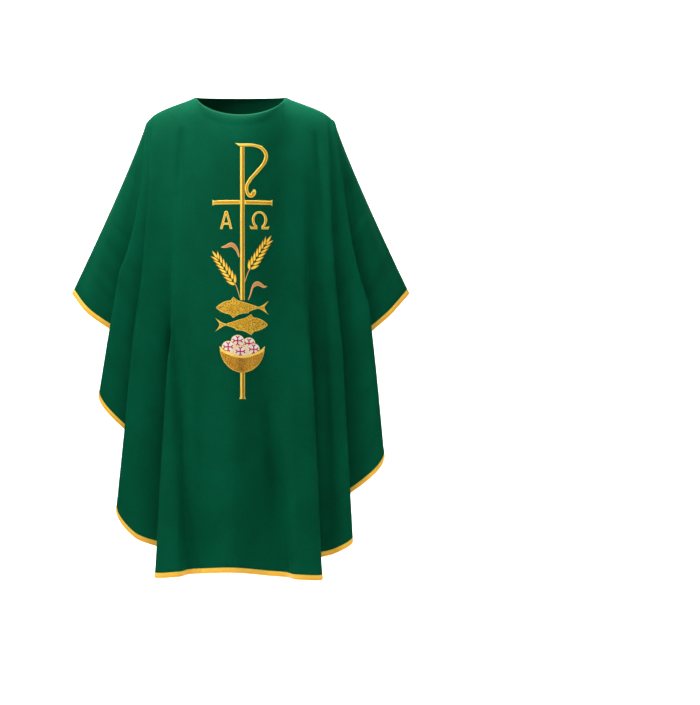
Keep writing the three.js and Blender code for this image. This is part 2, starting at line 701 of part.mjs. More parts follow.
function hostCover(index) {
  const cover = (host) => {
    const grown = disc(host.x, host.y, HOST_RADIUS + STITCH_GAP, 10);
    grown.translate(0, 0, -5);
    return solidOf(grown);
  };
  return HOSTS.slice(0, index).reduce((all, host) => all.add(cover(host)), behindBowl());
}

function host(index) {
  const { x, y } = HOSTS[index];
  return geometryOf(solidOf(disc(x, y, HOST_RADIUS)).subtract(hostCover(index)));
}

// A cross whose four arms fork at their ends.
function hostCross(index) {
  const { x, y } = HOSTS[index];
  const reach = 7.2;
  const arm = polygon([
    [-1.1, 0],
    [1.1, 0],
    [1.1, reach],
    [5, reach + 3.8],
    [3.2, reach + 5],
    [0, reach + 1.6],
    [-3.2, reach + 5],
    [-5, reach + 3.8],
    [-1.1, reach],
  ]);
  const turned = (quarter) => {
    const one = plate(arm, CROSS_STITCH_HEIGHT);
    one.rotateZ((quarter * Math.PI) / 2).translate(x, y + 1, 0);
    return solidOf(one);
  };
  const whole = [1, 2, 3].reduce((all, quarter) => all.add(turned(quarter)), turned(0));
  const kept = whole.subtract(hostCover(index)).decompose();
  return geometryOf(kept.sort((a, b) => b.volume() - a.volume())[0]);
}

function bowlStem() {
  const half = STAFF_HALF_WIDTH;
  const top = BOWL.rimY - BOWL.depth - STITCH_GAP;
  const foot = 6;
  return strip([
    ...spaced(top, STEM_FOOT_Y + foot, 8).map((y) => [
      [-half, y],
      [half, y],
    ]),
    [
      [-half - foot / 2, STEM_FOOT_Y],
      [half + foot / 2, STEM_FOOT_Y],
    ],
  ]);
}

// The non-woven sheet behind the embroidery, inside the front panel.
function stabiliser() {
  const { thickness, halfWidth, above, below } = STABILISER;
  const high = MOTIF_TOP + above;
  const low = MOTIF_TOP + STEM_FOOT_Y - below;
  const grid = range(0, 12).map((row) =>
    range(0, 18).map((column) => {
      const x = MOTIF_X + halfWidth * (column / 9 - 1);
      return front.behind(x, THREE.MathUtils.lerp(high, low, row / 12));
    }),
  );
  const outer = -CLOTH / 2 - DRAPE_CLEARANCE;
  return slab(grid, outer - thickness, outer);
}

// ---------------------------------------------------------------- the assembly
const chasuble = new THREE.Group();

function place(name, geometry, material) {
  const mesh = new THREE.Mesh(geometry, material);
  mesh.name = name;
  chasuble.add(mesh);
}

place("front_panel", panel(front), GREEN);
place("back_panel", panel(back), GREEN);
place("front_neck_facing", neckFacing(front), GREEN_INSIDE);
place("back_neck_facing", neckFacing(back), GREEN_INSIDE);
place("front_hem_binding", hemBinding(front), GOLD_SATIN);
place("back_hem_binding", hemBinding(back), GOLD_SATIN);
place("right_shoulder_seam", shoulderSeam(-1), GREEN_INSIDE);
place("left_shoulder_seam", shoulderSeam(1), GREEN_INSIDE);
place("embroidery_stabiliser", stabiliser(), STABILISER_FLEECE);

place("staff", staff(), GOLD_THREAD);
place("staff_bow", staffBow(), PALE_GOLD_THREAD);
place("crossbar_right", crossbarArm(-1), GOLD_THREAD);
place("crossbar_left", crossbarArm(1), GOLD_THREAD);
place("first_letter", laidOnFront(firstLetter()), GOLD_THREAD);
place("last_letter", laidOnFront(lastLetter()), PALE_GOLD_THREAD);
place("upper_wheat_ear", laidOnFront(wheatEar(UPPER_EAR)), PALE_GOLD_THREAD);
place("lower_wheat_ear", laidOnFront(wheatEar(LOWER_EAR)), PALE_GOLD_THREAD);
place("upper_wheat_stem", thinStem([15.6, -330.6], [7, -355]), COPPER_THREAD);
place("lower_wheat_stem", thinStem([-15.5, -368.6], [-6.9, -396]), COPPER_THREAD);
place("upper_leaf", strip(ribbon(UPPER_LEAF, 12)), COPPER_THREAD);
place("lower_leaf", strip(ribbon(LOWER_LEAF, 14)), COPPER_THREAD);
place("upper_fish", laidOnFront(fish(UPPER_FISH)), GOLD_THREAD);
place("lower_fish", laidOnFront(fish(LOWER_FISH)), GOLD_THREAD);
place("bowl", laidOnFront(bowlBody()), GOLD_THREAD);
place("bowl_rim", laidOnFront(bowlRim()), PALE_GOLD_THREAD);
place("bowl_stem", bowlStem(), GOLD_THREAD);
HOSTS.forEach((_, i) => {
  const overHost = CLOTH / 2 + DRAPE_CLEARANCE + STITCH_HEIGHT + CLEARANCE;
  place(`host_${i + 1}`, laidOnFront(host(i)), WHITE_THREAD);
  place(`host_cross_${i + 1}`, laidOnFront(hostCross(i), overHost), RED_THREAD);
});

export default chasuble;
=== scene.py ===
"""The looks of a hung chasuble: green cloth in folds, gold satin binding and stitched embroidery.

The cloth is laid out fold line by fold line, so that its panels, binding, facings and embroidery all lie on one drape.
Lengths are in metres unless a name says otherwise. +Z is up and the wearer faces -Y.
"""

import logging  # noqa: E402
import math  # noqa: E402
from collections.abc import Callable  # noqa: E402
from dataclasses import dataclass, field  # noqa: E402
from enum import Enum  # noqa: E402

import bmesh  # noqa: E402
import bpy  # noqa: E402
import numpy as np  # noqa: E402
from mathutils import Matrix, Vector  # noqa: E402
from mathutils.geometry import delaunay_2d_cdt  # noqa: E402
from mathutils.kdtree import KDTree  # noqa: E402

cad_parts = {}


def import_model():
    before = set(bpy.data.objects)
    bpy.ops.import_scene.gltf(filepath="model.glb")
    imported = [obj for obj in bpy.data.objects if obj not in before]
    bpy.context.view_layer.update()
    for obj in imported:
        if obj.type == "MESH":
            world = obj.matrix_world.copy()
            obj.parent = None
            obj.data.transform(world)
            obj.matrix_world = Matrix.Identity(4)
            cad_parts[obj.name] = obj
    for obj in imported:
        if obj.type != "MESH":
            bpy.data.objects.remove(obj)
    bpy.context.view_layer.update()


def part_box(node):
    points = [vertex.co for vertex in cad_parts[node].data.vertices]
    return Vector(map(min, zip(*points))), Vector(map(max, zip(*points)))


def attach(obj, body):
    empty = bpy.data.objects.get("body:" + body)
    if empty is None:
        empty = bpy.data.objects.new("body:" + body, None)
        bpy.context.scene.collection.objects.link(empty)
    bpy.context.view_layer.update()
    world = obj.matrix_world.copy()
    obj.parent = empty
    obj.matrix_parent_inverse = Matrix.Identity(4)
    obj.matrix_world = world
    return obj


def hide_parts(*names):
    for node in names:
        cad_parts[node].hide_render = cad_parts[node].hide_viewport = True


log = logging.getLogger("chasuble")

Array = np.ndarray
Piece = bpy.types.Object
Material = bpy.types.Material
Node = bpy.types.Node
Socket = bpy.types.NodeSocket
Tree = bpy.types.NodeTree
Colour = tuple[float, float, float, float]

MM = 0.001
CLOTH_THICKNESS = 1.0 * MM
HALF_CLOTH = CLOTH_THICKNESS / 2
NECK_HALF_WIDTH = 0.116
SHOULDER_HALF_WIDTH = 0.250
SHOULDER_DROP = 0.070
SEAM_END_SHARE = 515 / 1243  # how far down the front the shoulder seams end
SEAM_STANDOFF = 0.7 * MM
FACING_DEPTH = 0.054
BINDING_WIDTH = 12.5 * MM
HOSTS = range(1, 6)
FOLD_PITCH = 15  # columns of the grid from one fold line to the next
TINY = 1e-12


class Side(Enum):
    """Which way a panel faces, as the sign of Y."""

    FRONT = -1
    BACK = 1


def unit(vectors: Array) -> Array:
    """The same vectors at length one."""
    return vectors / np.maximum(np.linalg.norm(vectors, axis=-1, keepdims=True), TINY)


def distance_along(line: Array) -> Array:
    """How far along a line each of its points is."""
    return np.concatenate([[0], np.cumsum(np.linalg.norm(np.diff(line, axis=0), axis=1))])


# ---------------------------------------------------------------- the drape
@dataclass(frozen=True)
class Fold:
    """One fold line, from the shoulder or neck (top) to the hem, as shares of the panel's own box.

    top is 0 at the middle of the neck, 1 at a neck point and 2 at a shoulder tip, negative on the wearer's right.
    """

    top: float
    across: float
    down: float
    forward: float
    flare: float
    swell: float


FRONT_FOLDS = tuple(Fold(*row) for row in (
    (-2.0, -1.0, 0.0, 0.0, 1.1, 0),
    (-1.985, -0.905, 0.07, 0.17, 1.05, 20),
    (-1.97, -0.524, 0.257, 0.21, 1.0, 28),
    (-1.94, -0.824, 0.366, 0.43, 0.92, 32),
    (-1.9, -0.423, 0.659, 0.46, 1.0, 36),
    (-1.84, -0.714, 0.763, 0.655, 1.0, 42),
    (-1.78, -0.613, 0.86, 0.69, 1.0, 44),
    (-1.66, -0.304, 0.932, 0.63, 1.0, 46),
    (-1.33, -0.495, 0.993, 0.9, 1.3, 57),
    (-1.0, -0.372, 0.99, 1.0, 1.15, 48),
    (-0.72, -0.238, 0.984, 0.845, 1.1, 40),
    (-0.12, -0.051, 0.975, 1.0, 1.0, 34),
    (0.5, 0.164, 0.993, 0.775, 1.0, 38),
    (1.0, 0.332, 0.999, 1.0, 1.15, 48),
    (1.28, 0.475, 1.0, 0.913, 1.3, 57),
    (1.66, 0.315, 0.953, 0.62, 1.0, 46),
    (1.78, 0.544, 0.918, 0.67, 1.0, 44),
    (1.84, 0.648, 0.875, 0.65, 1.0, 42),
    (1.9, 0.4, 0.832, 0.46, 1.0, 36),
    (1.94, 0.836, 0.585, 0.43, 0.6, 32),
    (1.97, 0.494, 0.332, 0.21, 1.0, 28),
    (1.985, 0.895, 0.07, 0.17, 1.05, 20),
    (2.0, 1.0, 0.0, 0.0, 1.1, 0),
))
BACK_FOLDS = tuple(Fold(*row) for row in (
    (-2.0, -1.0, 0.0, 0.0, 1.1, 0),
    (-1.985, -0.9, 0.07, 0.2, 1.05, 20),
    (-1.97, -0.5, 0.28, 0.24, 1.0, 26),
    (-1.94, -0.79, 0.392, 0.44, 0.95, 30),
    (-1.9, -0.41, 0.66, 0.48, 1.0, 32),
    (-1.84, -0.68, 0.765, 0.67, 1.0, 36),
    (-1.78, -0.57, 0.87, 0.71, 1.0, 38),
    (-1.66, -0.29, 0.94, 0.64, 1.0, 40),
    (-1.33, -0.46, 0.995, 0.93, 1.25, 50),
    (-1.0, -0.33, 1.0, 1.0, 1.15, 46),
    (-0.6, -0.18, 0.99, 0.87, 1.0, 40),
    (0.0, 0.0, 0.985, 0.99, 1.0, 36),
    (0.6, 0.17, 0.99, 0.86, 1.0, 40),
    (1.0, 0.32, 1.0, 1.0, 1.15, 46),
    (1.3, 0.45, 0.995, 0.93, 1.25, 50),
    (1.66, 0.28, 0.95, 0.63, 1.0, 40),
    (1.78, 0.5, 0.915, 0.7, 1.0, 38),
    (1.84, 0.61, 0.87, 0.66, 1.0, 36),
    (1.9, 0.38, 0.825, 0.47, 1.0, 32),
    (1.94, 0.79, 0.575, 0.44, 0.95, 30),
    (1.97, 0.47, 0.325, 0.24, 1.0, 26),
    (1.985, 0.89, 0.07, 0.2, 1.05, 20),
    (2.0, 1.0, 0.0, 0.0, 1.1, 0),
))


@dataclass(frozen=True)
class Crease:
    """A shallow groove or valley down the cloth, between two places seen from in front."""

    top: tuple[float, float]
    end: tuple[float, float]
    depth: float
    widths: tuple[float, float]

    def sink(self, at: Array) -> Array:
        """How deep the crease is at each point.

        Args:
            at: points, one row each.

        Returns:
            Depths, all positive.
        """
        share = np.clip((at[:, 2] - self.top[1]) / (self.end[1] - self.top[1]), 0, 1)
        off = at[:, 0] - (self.top[0] + (self.end[0] - self.top[0]) * share)
        wide = self.widths[0] + (self.widths[1] - self.widths[0]) * share
        return self.depth * np.sin(np.pi * share**0.6) ** 0.8 * np.exp(-((off / wide) ** 2))


FRONT_CREASES = (
    Crease((-0.154, -0.085), (-0.163, -0.33), 6.5 * MM, (7 * MM, 14 * MM)),
    Crease((0.196, -0.09), (0.222, -0.34), 4.5 * MM, (7 * MM, 14 * MM)),
    Crease((-0.262, -0.17), (-0.318, -0.47), 2.2 * MM, (6 * MM, 12 * MM)),
    Crease((0.262, -0.15), (0.318, -0.42), 2.4 * MM, (6 * MM, 12 * MM)),
    Crease((-0.170, -0.60), (-0.076, -1.75), 21 * MM, (15 * MM, 31 * MM)),
    Crease((0.070, -0.80), (0.150, -1.75), 21 * MM, (14 * MM, 30 * MM)),
    Crease((0.215, -0.5), (0.235, -1.5), 9 * MM, (14 * MM, 24 * MM)),
)
BACK_CREASES = (
    Crease((0.170, -0.09), (0.182, -0.36), 3.0 * MM, (7 * MM, 12 * MM)),
    Crease((-0.182, -0.09), (-0.205, -0.38), 2.6 * MM, (7 * MM, 12 * MM)),
    Crease((0.1, -0.55), (0.12, -1.75), 8 * MM, (16 * MM, 28 * MM)),
    Crease((-0.09, -0.65), (-0.13, -1.75), 8 * MM, (15 * MM, 26 * MM)),
)


@dataclass
class Neckline:
    """How far forward or back the neckline curves, and how far it drops below the neck points."""

    depth: float
    drop: float


@dataclass
class Drape:
    """One panel's middle surface. u runs 0 to 1 from the wearer's right to left, v 0 to 1 from shoulder to hem."""

    side: Side
    folds: tuple[Fold, ...]
    creases: tuple[Crease, ...]
    neck: Neckline
    half_span: float
    length: float
    depth: float
    seam_end: float
    calm_low: tuple[float, float] = (0.0, 0.0)
    calm_high: tuple[float, float] = (0.0, 0.0)
    ease_rows: int = 201
    ease_passes: int = 170
    ease_from: float = 0.03
    ease_until: float = 0.55
    pucker: float = 0.22 * MM
    seam_roll: float = 0.9 * MM
    columns: dict[str, Array] = field(init=False)
    eased: Array = field(init=False)

    def __post_init__(self) -> None:
        """Keeps each fold value as one array over the folds, and eases the creases below the neck."""
        names = ("top", "across", "down", "forward", "flare", "swell")
        self.columns = {n: np.array([getattr(f, n) for f in self.folds], float) for n in names}
        spans = len(self.folds) - 1
        u, v = np.meshgrid(np.linspace(0, 1, FOLD_PITCH * spans + 1), np.linspace(0, 1, self.ease_rows))
        start = self.stretched(u.ravel(), v.ravel()).reshape(*u.shape, 3)
        points = start.copy()
        down = v[:, 1:-1]
        share = np.clip(down / self.ease_from, 0, 1) * np.clip((self.ease_until - down) / 0.4, 0, 1)
        for _ in range(self.ease_passes):
            points[:, 1:-1] += 0.5 * share[..., None] * ((points[:, 2:] + points[:, :-2]) / 2 - points[:, 1:-1])
        self.eased = points - start

    def edge(self, top: Array) -> Array:
        """The top edge of the panel: the neckline, then the shoulder seam.

        Args:
            top: places along it, as in Fold.top.

        Returns:
            Points, one row each.
        """
        t = np.abs(top)
        sign = np.sign(top)
        bow = np.sqrt(np.clip(1 - t * t, 0, 1))
        out = np.clip(t - 1, 0, 1)
        on_neck = t <= 1
        x = np.where(on_neck, top * NECK_HALF_WIDTH,
                     sign * (NECK_HALF_WIDTH + out * (SHOULDER_HALF_WIDTH - NECK_HALF_WIDTH)))
        y = self.side.value * (SEAM_STANDOFF + np.where(on_neck, self.neck.depth * bow, 0))
        z = np.where(on_neck, -self.neck.drop * bow**1.2, -SHOULDER_DROP * (0.7 * out + 0.3 * out**7))
        return np.stack([x, y, z], -1)

    def line(self, i: Array, v: Array) -> Array:
        """Points on the fold lines.

        Args:
            i: the index of a fold line for each point.
            v: how far down it each point is.

        Returns:
            Points, one row each.
        """
        c = {name: values[i] for name, values in self.columns.items()}
        start = self.edge(c["top"])
        end_x = c["across"] * self.half_span
        end_y = self.side.value * (SEAM_STANDOFF + c["forward"] * self.depth)
        end_z = -(self.seam_end + c["down"] * (self.length - self.seam_end))
        v = np.maximum(v, 1e-9)
        push = self.side.value * c["swell"] * MM * np.sin(np.pi * v**0.45)
        x = start[:, 0] + (end_x - start[:, 0]) * v ** c["flare"]
        y = start[:, 1] + (end_y - start[:, 1]) * v + push
        z = start[:, 2] + (end_z - start[:, 2]) * v
        return np.stack([x, y, z], -1)

    def _curve(self, u: Array, v: Array) -> Array:
        """The smooth curve through the fold lines at height v, a centripetal spline.

        Args:
            u: places across.
            v: places down.

        Returns:
            Points, one row each.
        """
        last = len(self.folds) - 1
        along = np.clip(u, 0, 1) * last
        i = np.minimum(along.astype(int), last - 1)
        w = (along - i)[:, None]
        p1, p2 = self.line(i, v), self.line(i + 1, v)
        before, after = np.maximum(i - 1, 0), np.minimum(i + 2, last)
        p0 = np.where((i == 0)[:, None], 2 * p1 - p2, self.line(before, v))
        p3 = np.where((i == last - 1)[:, None], 2 * p2 - p1, self.line(after, v))
        d0, d1, d2 = (np.maximum(np.linalg.norm(b - a, axis=1), 1e-9)[:, None] ** 0.5
                      for a, b in ((p0, p1), (p1, p2), (p2, p3)))
        t1 = ((p1 - p0) / d0 - (p2 - p0) / (d0 + d1) + (p2 - p1) / d1) * d1
        t2 = ((p2 - p1) / d1 - (p3 - p1) / (d1 + d2) + (p3 - p2) / d2) * d1
        return (p1 + t1 * w + (-3 * p1 + 3 * p2 - 2 * t1 - t2) * w**2
                + (2 * p1 - 2 * p2 + t1 + t2) * w**3)

    def base(self, u: Array, v: Array) -> Array:
        """The drape without its small wrinkles.

        Args:
            u: places across.
            v: places down.

        Returns:
            Points, one row each.
        """
        rows, columns = self.eased.shape[0] - 1, self.eased.shape[1] - 1
        right, down = np.clip(u, 0, 1) * columns, np.clip(v, 0, 1) * rows
        i, j = np.minimum(down.astype(int), rows - 1), np.minimum(right.astype(int), columns - 1)
        a, b = (down - i)[:, None], (right - j)[:, None]
        e = self.eased
        ease = (e[i, j] * (1 - b) + e[i, j + 1] * b) * (1 - a) + (e[i + 1, j] * (1 - b) + e[i + 1, j + 1] * b) * a
        return self.stretched(u, v) + ease

    def stretched(self, u: Array, v: Array) -> Array:
        """The surface straight through the fold lines, with its top drawn back to the true edge.

        Args:
            u: places across.
            v: places down.

        Returns:
            Points, one row each.
        """
        last = len(self.folds) - 1
        along = np.clip(u, 0, 1) * last
        i = np.minimum(along.astype(int), last - 1)
        tops = self.columns["top"]
        top = tops[i] + (tops[i + 1] - tops[i]) * (along - i)
        miss = self.edge(top) - self._curve(u, np.zeros_like(v))
        return self._curve(u, v) + miss * np.clip(1 - v / 0.1, 0, 1)[:, None]

    def _normal_of(self, points: Callable, u: Array, v: Array) -> Array:
        """The way the right side of the cloth faces, for the surface that points(u, v) gives.

        Args:
            points: a function from places to points.
            u: places across.
            v: places down.

        Returns:
            Normals, one row each.
        """
        h = 6e-4
        across = points(np.minimum(u + h, 1), v) - points(np.maximum(u - h, 0), v)
        down = points(u, np.minimum(v + h, 1)) - points(u, np.maximum(v - h, 0))
        return unit(np.cross(across, down) * self.side.value)

    def wrinkle(self, u: Array, v: Array, at: Array) -> Array:
        """How far the cloth stands off its base: soft ripples, hem puckers and the roll into each seam.

        Args:
            u: places across.
            v: places down.
            at: the base points there.

        Returns:
            Heights along the normal.
        """
        s = u * (len(self.folds) - 1)
        swing = np.sin(1.9 * s + 2.1 * v + 0.7) + 0.7 * np.sin(3.3 * s - 3.7 * v + 1.9)
        swing += 0.5 * np.sin(5.9 * s + 5.3 * v + 4.1) + 0.35 * np.sin(0.8 * s + 9.0 * v + 2.2)
        drift = np.sin(11.0 * v + 2.3 * s) * np.sin(4.0 * v - 1.1 * s + 0.5)
        soft = (0.9 * swing + 0.9 * drift) * MM * np.clip(v * 3, 0, 1) ** 1.5
        (x0, z0), (x1, z1) = self.calm_low, self.calm_high
        x, z = at[:, 0], at[:, 2]
        gap = np.maximum.reduce([x0 - x, x - x1, z0 - z, z - z1, 0 * x])
        soft *= 0.25 + 0.75 * np.clip(gap / 0.05, 0, 1)
        for crease in self.creases:
            soft -= crease.sink(at)
        reach = np.maximum(-at[:, 2], 0.2)
        from_hem = (1 - v) * reach
        pucker = np.sin(s * 31.0) + 0.6 * np.sin(s * 52.0 + 1.3)
        soft += self.pucker * pucker * np.exp(-((from_hem / 0.03) ** 2))
        side_gap = np.minimum(u, 1 - u) * (len(self.folds) - 1) * (0.004 + 0.055 * v)
        top = np.interp(s, np.arange(len(self.folds)), self.columns["top"])
        top_gap = v * reach * 1.25 + 0.03 * np.clip((1.12 - np.abs(top)) / 0.12, 0, 1)
        seam = np.minimum(side_gap, top_gap)
        return soft * np.clip(seam / 0.02, 0, 1) - self.seam_roll * np.exp(-((seam / 0.004) ** 2))

    def point(self, u: Array, v: Array) -> Array:
        """The finished middle surface, wrinkles included.

        Args:
            u: places across.
            v: places down.

        Returns:
            Points, one row each.
        """
        at = self.base(u, v)
        normal = self._normal_of(self.base, u, v)
        return at + normal * self.wrinkle(u, v, at)[:, None]

    def normal(self, u: Array, v: Array) -> Array:
        """The normal of the finished surface."""
        return self._normal_of(self.point, u, v)

    def locate(self, x: Array, z: Array) -> tuple[Array, Array]:
        """The places on the middle of the panel straight behind points seen from in front.

        Args:
            x: how far across.
            z: how high.

        Returns:
            The u and the v of each.
        """
        u = 0.5 + np.clip(x, -0.12, 0.12) * 0.9
        v = np.clip(-z / self.length, 0.01, 0.99)
        h = 1e-3
        for _ in range(14):
            here = self.base(u, v)
            du = (self.base(u + h, v) - here) / h
            dv = (self.base(u, v + h) - here) / h
            turn = du[:, 0] * dv[:, 2] - du[:, 2] * dv[:, 0]
            ex, ez = x - here[:, 0], z - here[:, 2]
            u = np.clip(u + 0.8 * (ex * dv[:, 2] - ez * dv[:, 0]) / turn, 0.3, 0.7)
            v = np.clip(v + 0.8 * (du[:, 0] * ez - du[:, 2] * ex) / turn, 0.01, 0.99)
        return u, v


# ---------------------------------------------------------------- meshes
def new_mesh(name: str, points: Array, faces: list) -> Piece:
    """A mesh object at the origin, smooth shaded.

    Args:
        name: its name.
        points: vertices, one row each.
        faces: vertex indices of each face.

    Returns:
        The new object, linked to the scene.
    """
    mesh = bpy.data.meshes.new(name)
    mesh.from_pydata(np.asarray(points).tolist(), [], faces)
    mesh.validate()
    mesh.shade_smooth()
    made = bpy.data.objects.new(name, mesh)
    bpy.context.scene.collection.objects.link(made)
    return made


def select_only(piece: Piece) -> None:
    """Deselects everything and makes this piece the active one.

    Args:
        piece: the piece.
    """
    bpy.ops.object.select_all(action="DESELECT")
    piece.select_set(True)
    bpy.context.view_layer.objects.active = piece


def give_modifier(piece: Piece, kind: str, **settings: object) -> None:
    """Adds a modifier with these settings and applies it.

    Args:
        piece: the piece.
        kind: the modifier's type.
        **settings: its properties.
    """
    select_only(piece)
    modifier = piece.modifiers.new(kind.lower(), kind)
    for name, value in settings.items():
        setattr(modifier, name, value)
    bpy.ops.object.modifier_apply(modifier=modifier.name)


def face_out(piece: Piece) -> None:
    """Turns the faces of a closed mesh outwards.

    Args:
        piece: the piece.
    """
    work = bmesh.new()
    work.from_mesh(piece.data)
    bmesh.ops.recalc_face_normals(work, faces=work.faces)
    work.to_mesh(piece.data)
    work.free()


def set_uv(piece: Piece, uv: Array, name: str = "flat") -> None:
    """Writes one UV pair for each vertex into the piece's own map.

    Args:
        piece: the piece.
        uv: two numbers for each vertex, in metres.
        name: the map's name.
    """
    layer = piece.data.uv_layers.new(name=name)
    loops = np.zeros(len(piece.data.loops), np.int32)
    piece.data.loops.foreach_get("vertex_index", loops)
    layer.data.foreach_set("uv", uv[loops].astype(np.float32).ravel())


def grid_faces(rows: int, columns: int, flip: bool) -> list[tuple[int, ...]]:
    """The quads of a grid of vertices listed row by row.

    Args:
        rows: how many rows there are.
        columns: how many vertices each row has.
        flip: whether the quads are turned over.

    Returns:
        The vertex indices of each quad.
    """
    quads = []
    for r in range(rows - 1):
        for c in range(columns - 1):
            a = r * columns + c
            quad = (a, a + columns, a + columns + 1, a + 1)
            quads.append(quad[::-1] if flip else quad)
    return quads


def tube_faces(rings: int, size: int) -> list[tuple[int, ...]]:
    """The faces of a closed tube of rings, with a flat cap at each end.

    Args:
        rings: how many rings there are.
        size: how many vertices each ring has.

    Returns:
        The vertex indices of each face.
    """
    faces = [tuple(range(size)), tuple(range((rings - 1) * size, rings * size))[::-1]]
    for r in range(rings - 1):
        for k in range(size):
            a, b = r * size + k, r * size + (k + 1) % size
            faces.append((a, a + size, b + size, b))
    return faces


def soften(piece: Piece, degrees: float) -> None:
    """Shades a piece smooth, apart from edges that turn more than this."""
    select_only(piece)
    bpy.ops.object.shade_smooth_by_angle(angle=math.radians(degrees))


def new_sheet(name: str, points: Array, flat: Array, flip: bool, thickness: float, sides: list[Material]) -> Piece:
    """A sheet of cloth round a grid of middle points.

    Args:
        name: its name.
        points: the middle surface, as (rows, columns, 3).
        flat: each point's place on the flat cloth.
        flip: whether the quads have to be turned to face out.
        thickness: how thick the cloth is.
        sides: the material of its right side, and of its wrong side if that differs.

    Returns:
        The new sheet.
    """
    made = new_mesh(name, points.reshape(-1, 3), grid_faces(*points.shape[:2], flip))
    set_uv(made, flat.reshape(-1, 2))
    for material in sides:
        made.data.materials.append(material)
    give_modifier(made, "SOLIDIFY", thickness=thickness, offset=0, use_even_offset=False,
                  material_offset=len(sides) - 1, material_offset_rim=0)
    return made


def new_strip(name: str, rings: Array, along: Array, across: Array) -> Piece:
    """A closed strip swept through rings of points.

    Args:
        name: its name.
        rings: the points, as (rings, points in a ring, 3).
        along: the U of each point, in a shape that broadcasts to the rings.
        across: the V of each point, likewise.

    Returns:
        The new strip.
    """
    made = new_mesh(name, rings.reshape(-1, 3), tube_faces(*rings.shape[:2]))
    face_out(made)
    set_uv(made, np.stack(np.broadcast_arrays(along, across), -1).reshape(-1, 2))
    soften(made, 50)
    return made


# ---------------------------------------------------------------- shader nodes
class Graph:
    """A material's or a group's nodes, added by type with their inputs set in one call."""

    def __init__(self, tree: Tree) -> None:
        """Keeps the tree and the next free place on its sheet."""
        self.tree = tree
        self.step = 0

    def add(self, kind: str, inputs: dict[str | int, object] | None = None, **settings: object) -> Node:
        """Adds a node.

        Args:
            kind: its type.
            inputs: a value or another node's output for each named input.
            **settings: its properties.

        Returns:
            The new node.
        """
        node = self.tree.nodes.new(kind)
        node.location = (180 * (self.step % 8), -220 * (self.step // 8))
        self.step += 1
        for name, value in settings.items():
            setattr(node, name, value)
        self.feed(node, inputs or {})
        return node

    def feed(self, node: Node, inputs: dict[str | int, object]) -> None:
        """Gives each named input its value, or links it to another node's output.

        Args:
            node: the node.
            inputs: a value or another node's output for each name or number of an input.
        """
        for name, value in inputs.items():
            if isinstance(value, Socket):
                self.tree.links.new(value, node.inputs[name])
            else:
                node.inputs[name].default_value = value

    def math(self, operation: str, *values: object) -> Socket:
        """The result of a Math node."""
        return self.add("ShaderNodeMath", dict(enumerate(values)), operation=operation).outputs[0]

    def plus(self, *values: object) -> Socket:
        """The sum of two numbers."""
        return self.math("ADD", *values)

    def minus(self, *values: object) -> Socket:
        """The first number less the second."""
        return self.math("SUBTRACT", *values)

    def mul(self, *values: object) -> Socket:
        """The product of two numbers."""
        return self.math("MULTIPLY", *values)

    def mix(self, share: object, first: object, second: object) -> Socket:
        """The mix of two colours."""
        return self.add("ShaderNodeMix", {"Factor": share, 6: first, 7: second}, data_type="RGBA").outputs[2]

    def ramp(self, share: object, low: float, high: float) -> Socket:
        """0 below low, 1 above high, and smooth between.

        Args:
            share: the number to compare.
            low: where the rise starts.
            high: where it ends.

        Returns:
            The share of the way up.
        """
        return self.add(
            "ShaderNodeMapRange", {"Value": share, "From Min": low, "From Max": high},
            interpolation_type="SMOOTHSTEP",
        ).outputs[0]

    def noise(self, vector: object, scale: float, detail: float = 2.0) -> Socket:
        """A noise value from 0 to 1."""
        return self.add("ShaderNodeTexNoise", {"Vector": vector, "Scale": scale, "Detail": detail}).outputs[0]

    def apart(self, vector: object) -> list[Socket]:
        """A vector's three numbers."""
        return list(self.add("ShaderNodeSeparateXYZ", {0: vector}).outputs)

    def join(self, x: object, y: object) -> Socket:
        """A vector from two numbers."""
        return self.add("ShaderNodeCombineXYZ", {0: x, 1: y}).outputs[0]

    def map(self, name: str) -> Socket:
        """The piece's own UV map of this name."""
        return self.add("ShaderNodeUVMap", uv_map=name).outputs[0]

    def rest_of(self, share: object) -> Socket:
        """One less a share."""
        return self.minus(1.0, share)

    def bump(self, height: object, strength: float, depth: float) -> Socket:
        """The normal of a surface that stands up by a height from 0 to 1, times a depth."""
        return self.add("ShaderNodeBump", {"Height": height, "Strength": strength, "Distance": depth}).outputs[0]


def new_group(name: str, inputs: dict[str, tuple[str, float]], outputs: tuple[str, ...]) -> tuple:
    """A shader node group with named sockets.

    Args:
        name: the group's name.
        inputs: each input's socket type and first value.
        outputs: the names of its float outputs.

    Returns:
        The group, its Graph, its input node and its output node.
    """
    group = bpy.data.node_groups.new(name, "ShaderNodeTree")
    for socket_name, (kind, value) in inputs.items():
        socket = group.interface.new_socket(name=socket_name, in_out="INPUT", socket_type=kind)
        if kind == "NodeSocketFloat":
            socket.default_value = value
    for socket_name in outputs:
        group.interface.new_socket(name=socket_name, in_out="OUTPUT", socket_type="NodeSocketFloat")
    graph = Graph(group)
    return group, graph, graph.add("NodeGroupInput"), graph.add("NodeGroupOutput")


YARN_FINE, YARN_LONG = 1400.0, 40.0  # how often a yarn's thickness changes across and along it, per metre


